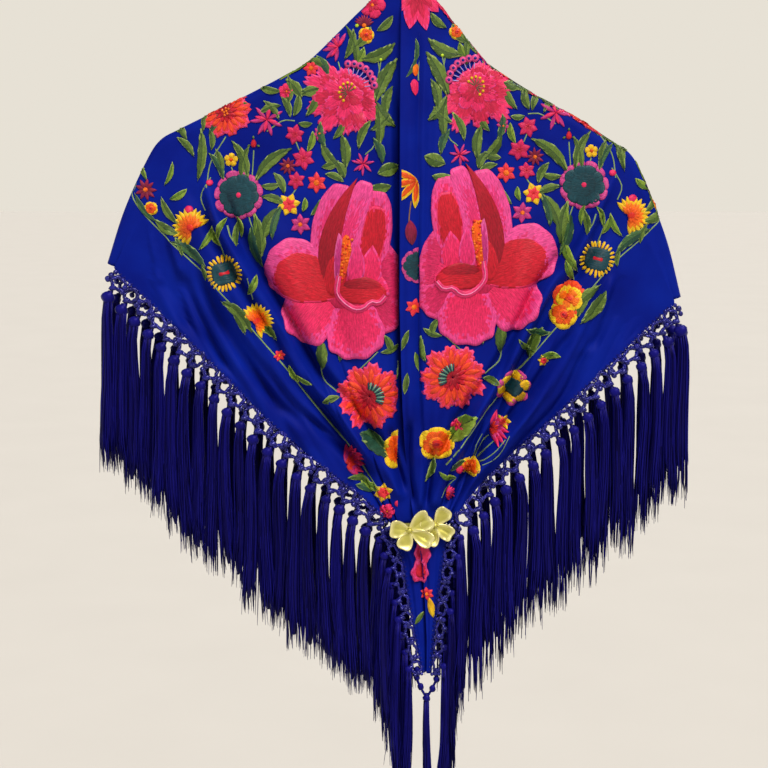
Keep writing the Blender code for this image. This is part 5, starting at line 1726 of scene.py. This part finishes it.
flecked = add_node(tree, "ShaderNodeMapRange", {}, {"Value": flecks.outputs["Fac"]}, From_Min=0.35,
                   From_Max=0.6, To_Min=0.82, To_Max=1.0)
tinted = add_node(tree, "ShaderNodeVectorMath", {"operation": "SCALE"},
                  {"Vector": wood.outputs["Color"], "Scale": flecked.outputs["Result"]})
tree.links.new(tinted.outputs["Vector"], shader.inputs["Base Color"])

# Drawn steel wire, bright zinc plated: grey-white metal with fine lines round it from the drawing.
zinc, tree, shader = new_material("steel wire, bright zinc plated", Metallic=1.0,
                                  Base_Color=(*linear("#c9cace"), 1))
place = add_node(tree, "ShaderNodeTexCoord")
bloom = add_node(tree, "ShaderNodeTexNoise", {}, {"Vector": place.outputs["Object"]},
                 Scale=1 / (2.5 * MM), Detail=4.0)
sheen = add_node(tree, "ShaderNodeMapRange", {}, {"Value": bloom.outputs["Fac"]}, From_Min=0.3,
                 From_Max=0.7, To_Min=0.20, To_Max=0.36)
tree.links.new(sheen.outputs["Result"], shader.inputs["Roughness"])

for node, finish in (("hanger_arms", beech), ("hanger_hook", zinc)):
    for material_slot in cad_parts[node].material_slots:
        material_slot.material = finish


# The floor and the light
# A plain pale floor and a pale backdrop that dims overhead. Three broad soft lamps light the shawl
# from above, one side and behind. The camera has the photo's height, distance and lens.

FLOOR_SIZE = 60.0
FLOOR_DROP = 1.60
CAMERA_DISTANCE = 1.50
LOOK_AT = Vector(at((-18, 0, 409)))
CAMERA_RISE = math.radians(9.0)
LENS = 70.3
SENSOR = 36.0


def add_lamp(name, toward, width, strength, colour):
    """A broad far lamp. toward points at it, and width is how many degrees of the sky it fills."""
    data = bpy.data.lights.new(name, "SUN")
    data.angle = math.radians(width)
    data.energy = strength
    data.color = linear(colour)
    lamp = bpy.data.objects.new(name, data)
    lamp.rotation_euler = Vector(toward).to_track_quat("Z", "Y").to_euler()
    bpy.context.scene.collection.objects.link(lamp)


paint, tree, shader = new_material("studio floor, matt white paint", Roughness=0.9)
place = add_node(tree, "ShaderNodeTexCoord")
mottle = add_node(tree, "ShaderNodeTexNoise", {}, {"Vector": place.outputs["Object"]}, Scale=3.0,
                  Detail=4.0)
shade = add_node(tree, "ShaderNodeValToRGB", {}, {"Fac": mottle.outputs["Fac"]},
                 ((0.0, "#b3b1ad"), (1.0, "#b8b6b2")))
tree.links.new(shade.outputs["Color"], shader.inputs["Base Color"])
bpy.ops.mesh.primitive_plane_add(size=FLOOR_SIZE, location=(0, 0, -FLOOR_DROP))
floor = bpy.context.object
floor.name = "studio_floor"
floor.data.materials.append(paint)

world = bpy.data.worlds.new("studio")
world.use_nodes = True
sky = world.node_tree.nodes["Background"]
facing = add_node(world.node_tree, "ShaderNodeTexCoord")
split = add_node(world.node_tree, "ShaderNodeSeparateXYZ", {},
                 {"Vector": facing.outputs["Generated"]})
backdrop = add_node(world.node_tree, "ShaderNodeValToRGB", {}, {"Fac": split.outputs["Z"]},
                    ((0.12, "#ebe5d9"), (0.30, "#5c5b5a")))
world.node_tree.links.new(backdrop.outputs["Color"], sky.inputs["Color"])
sky.inputs["Strength"].default_value = 0.96
bpy.context.scene.world = world
add_lamp("key lamp", (0.24, -0.52, 0.82), 30, 4.3, "#fff6ea")
add_lamp("side lamp", (-0.80, -0.45, 0.38), 20, 0.5, "#f3f6ff")
add_lamp("back lamp", (0.25, 0.60, 0.75), 20, 1.6, "#ffffff")

camera_data = bpy.data.cameras.new("camera")
camera_data.lens = LENS
camera_data.sensor_width = SENSOR
camera = bpy.data.objects.new("camera", camera_data)
toward = Vector((0, -math.cos(CAMERA_RISE), math.sin(CAMERA_RISE)))
camera.location = LOOK_AT + toward * CAMERA_DISTANCE
camera.rotation_euler = (-toward).to_track_quat("-Z", "Y").to_euler()
bpy.context.scene.collection.objects.link(camera)
bpy.context.scene.camera = camera
bpy.context.scene.view_settings.view_transform = "Standard"
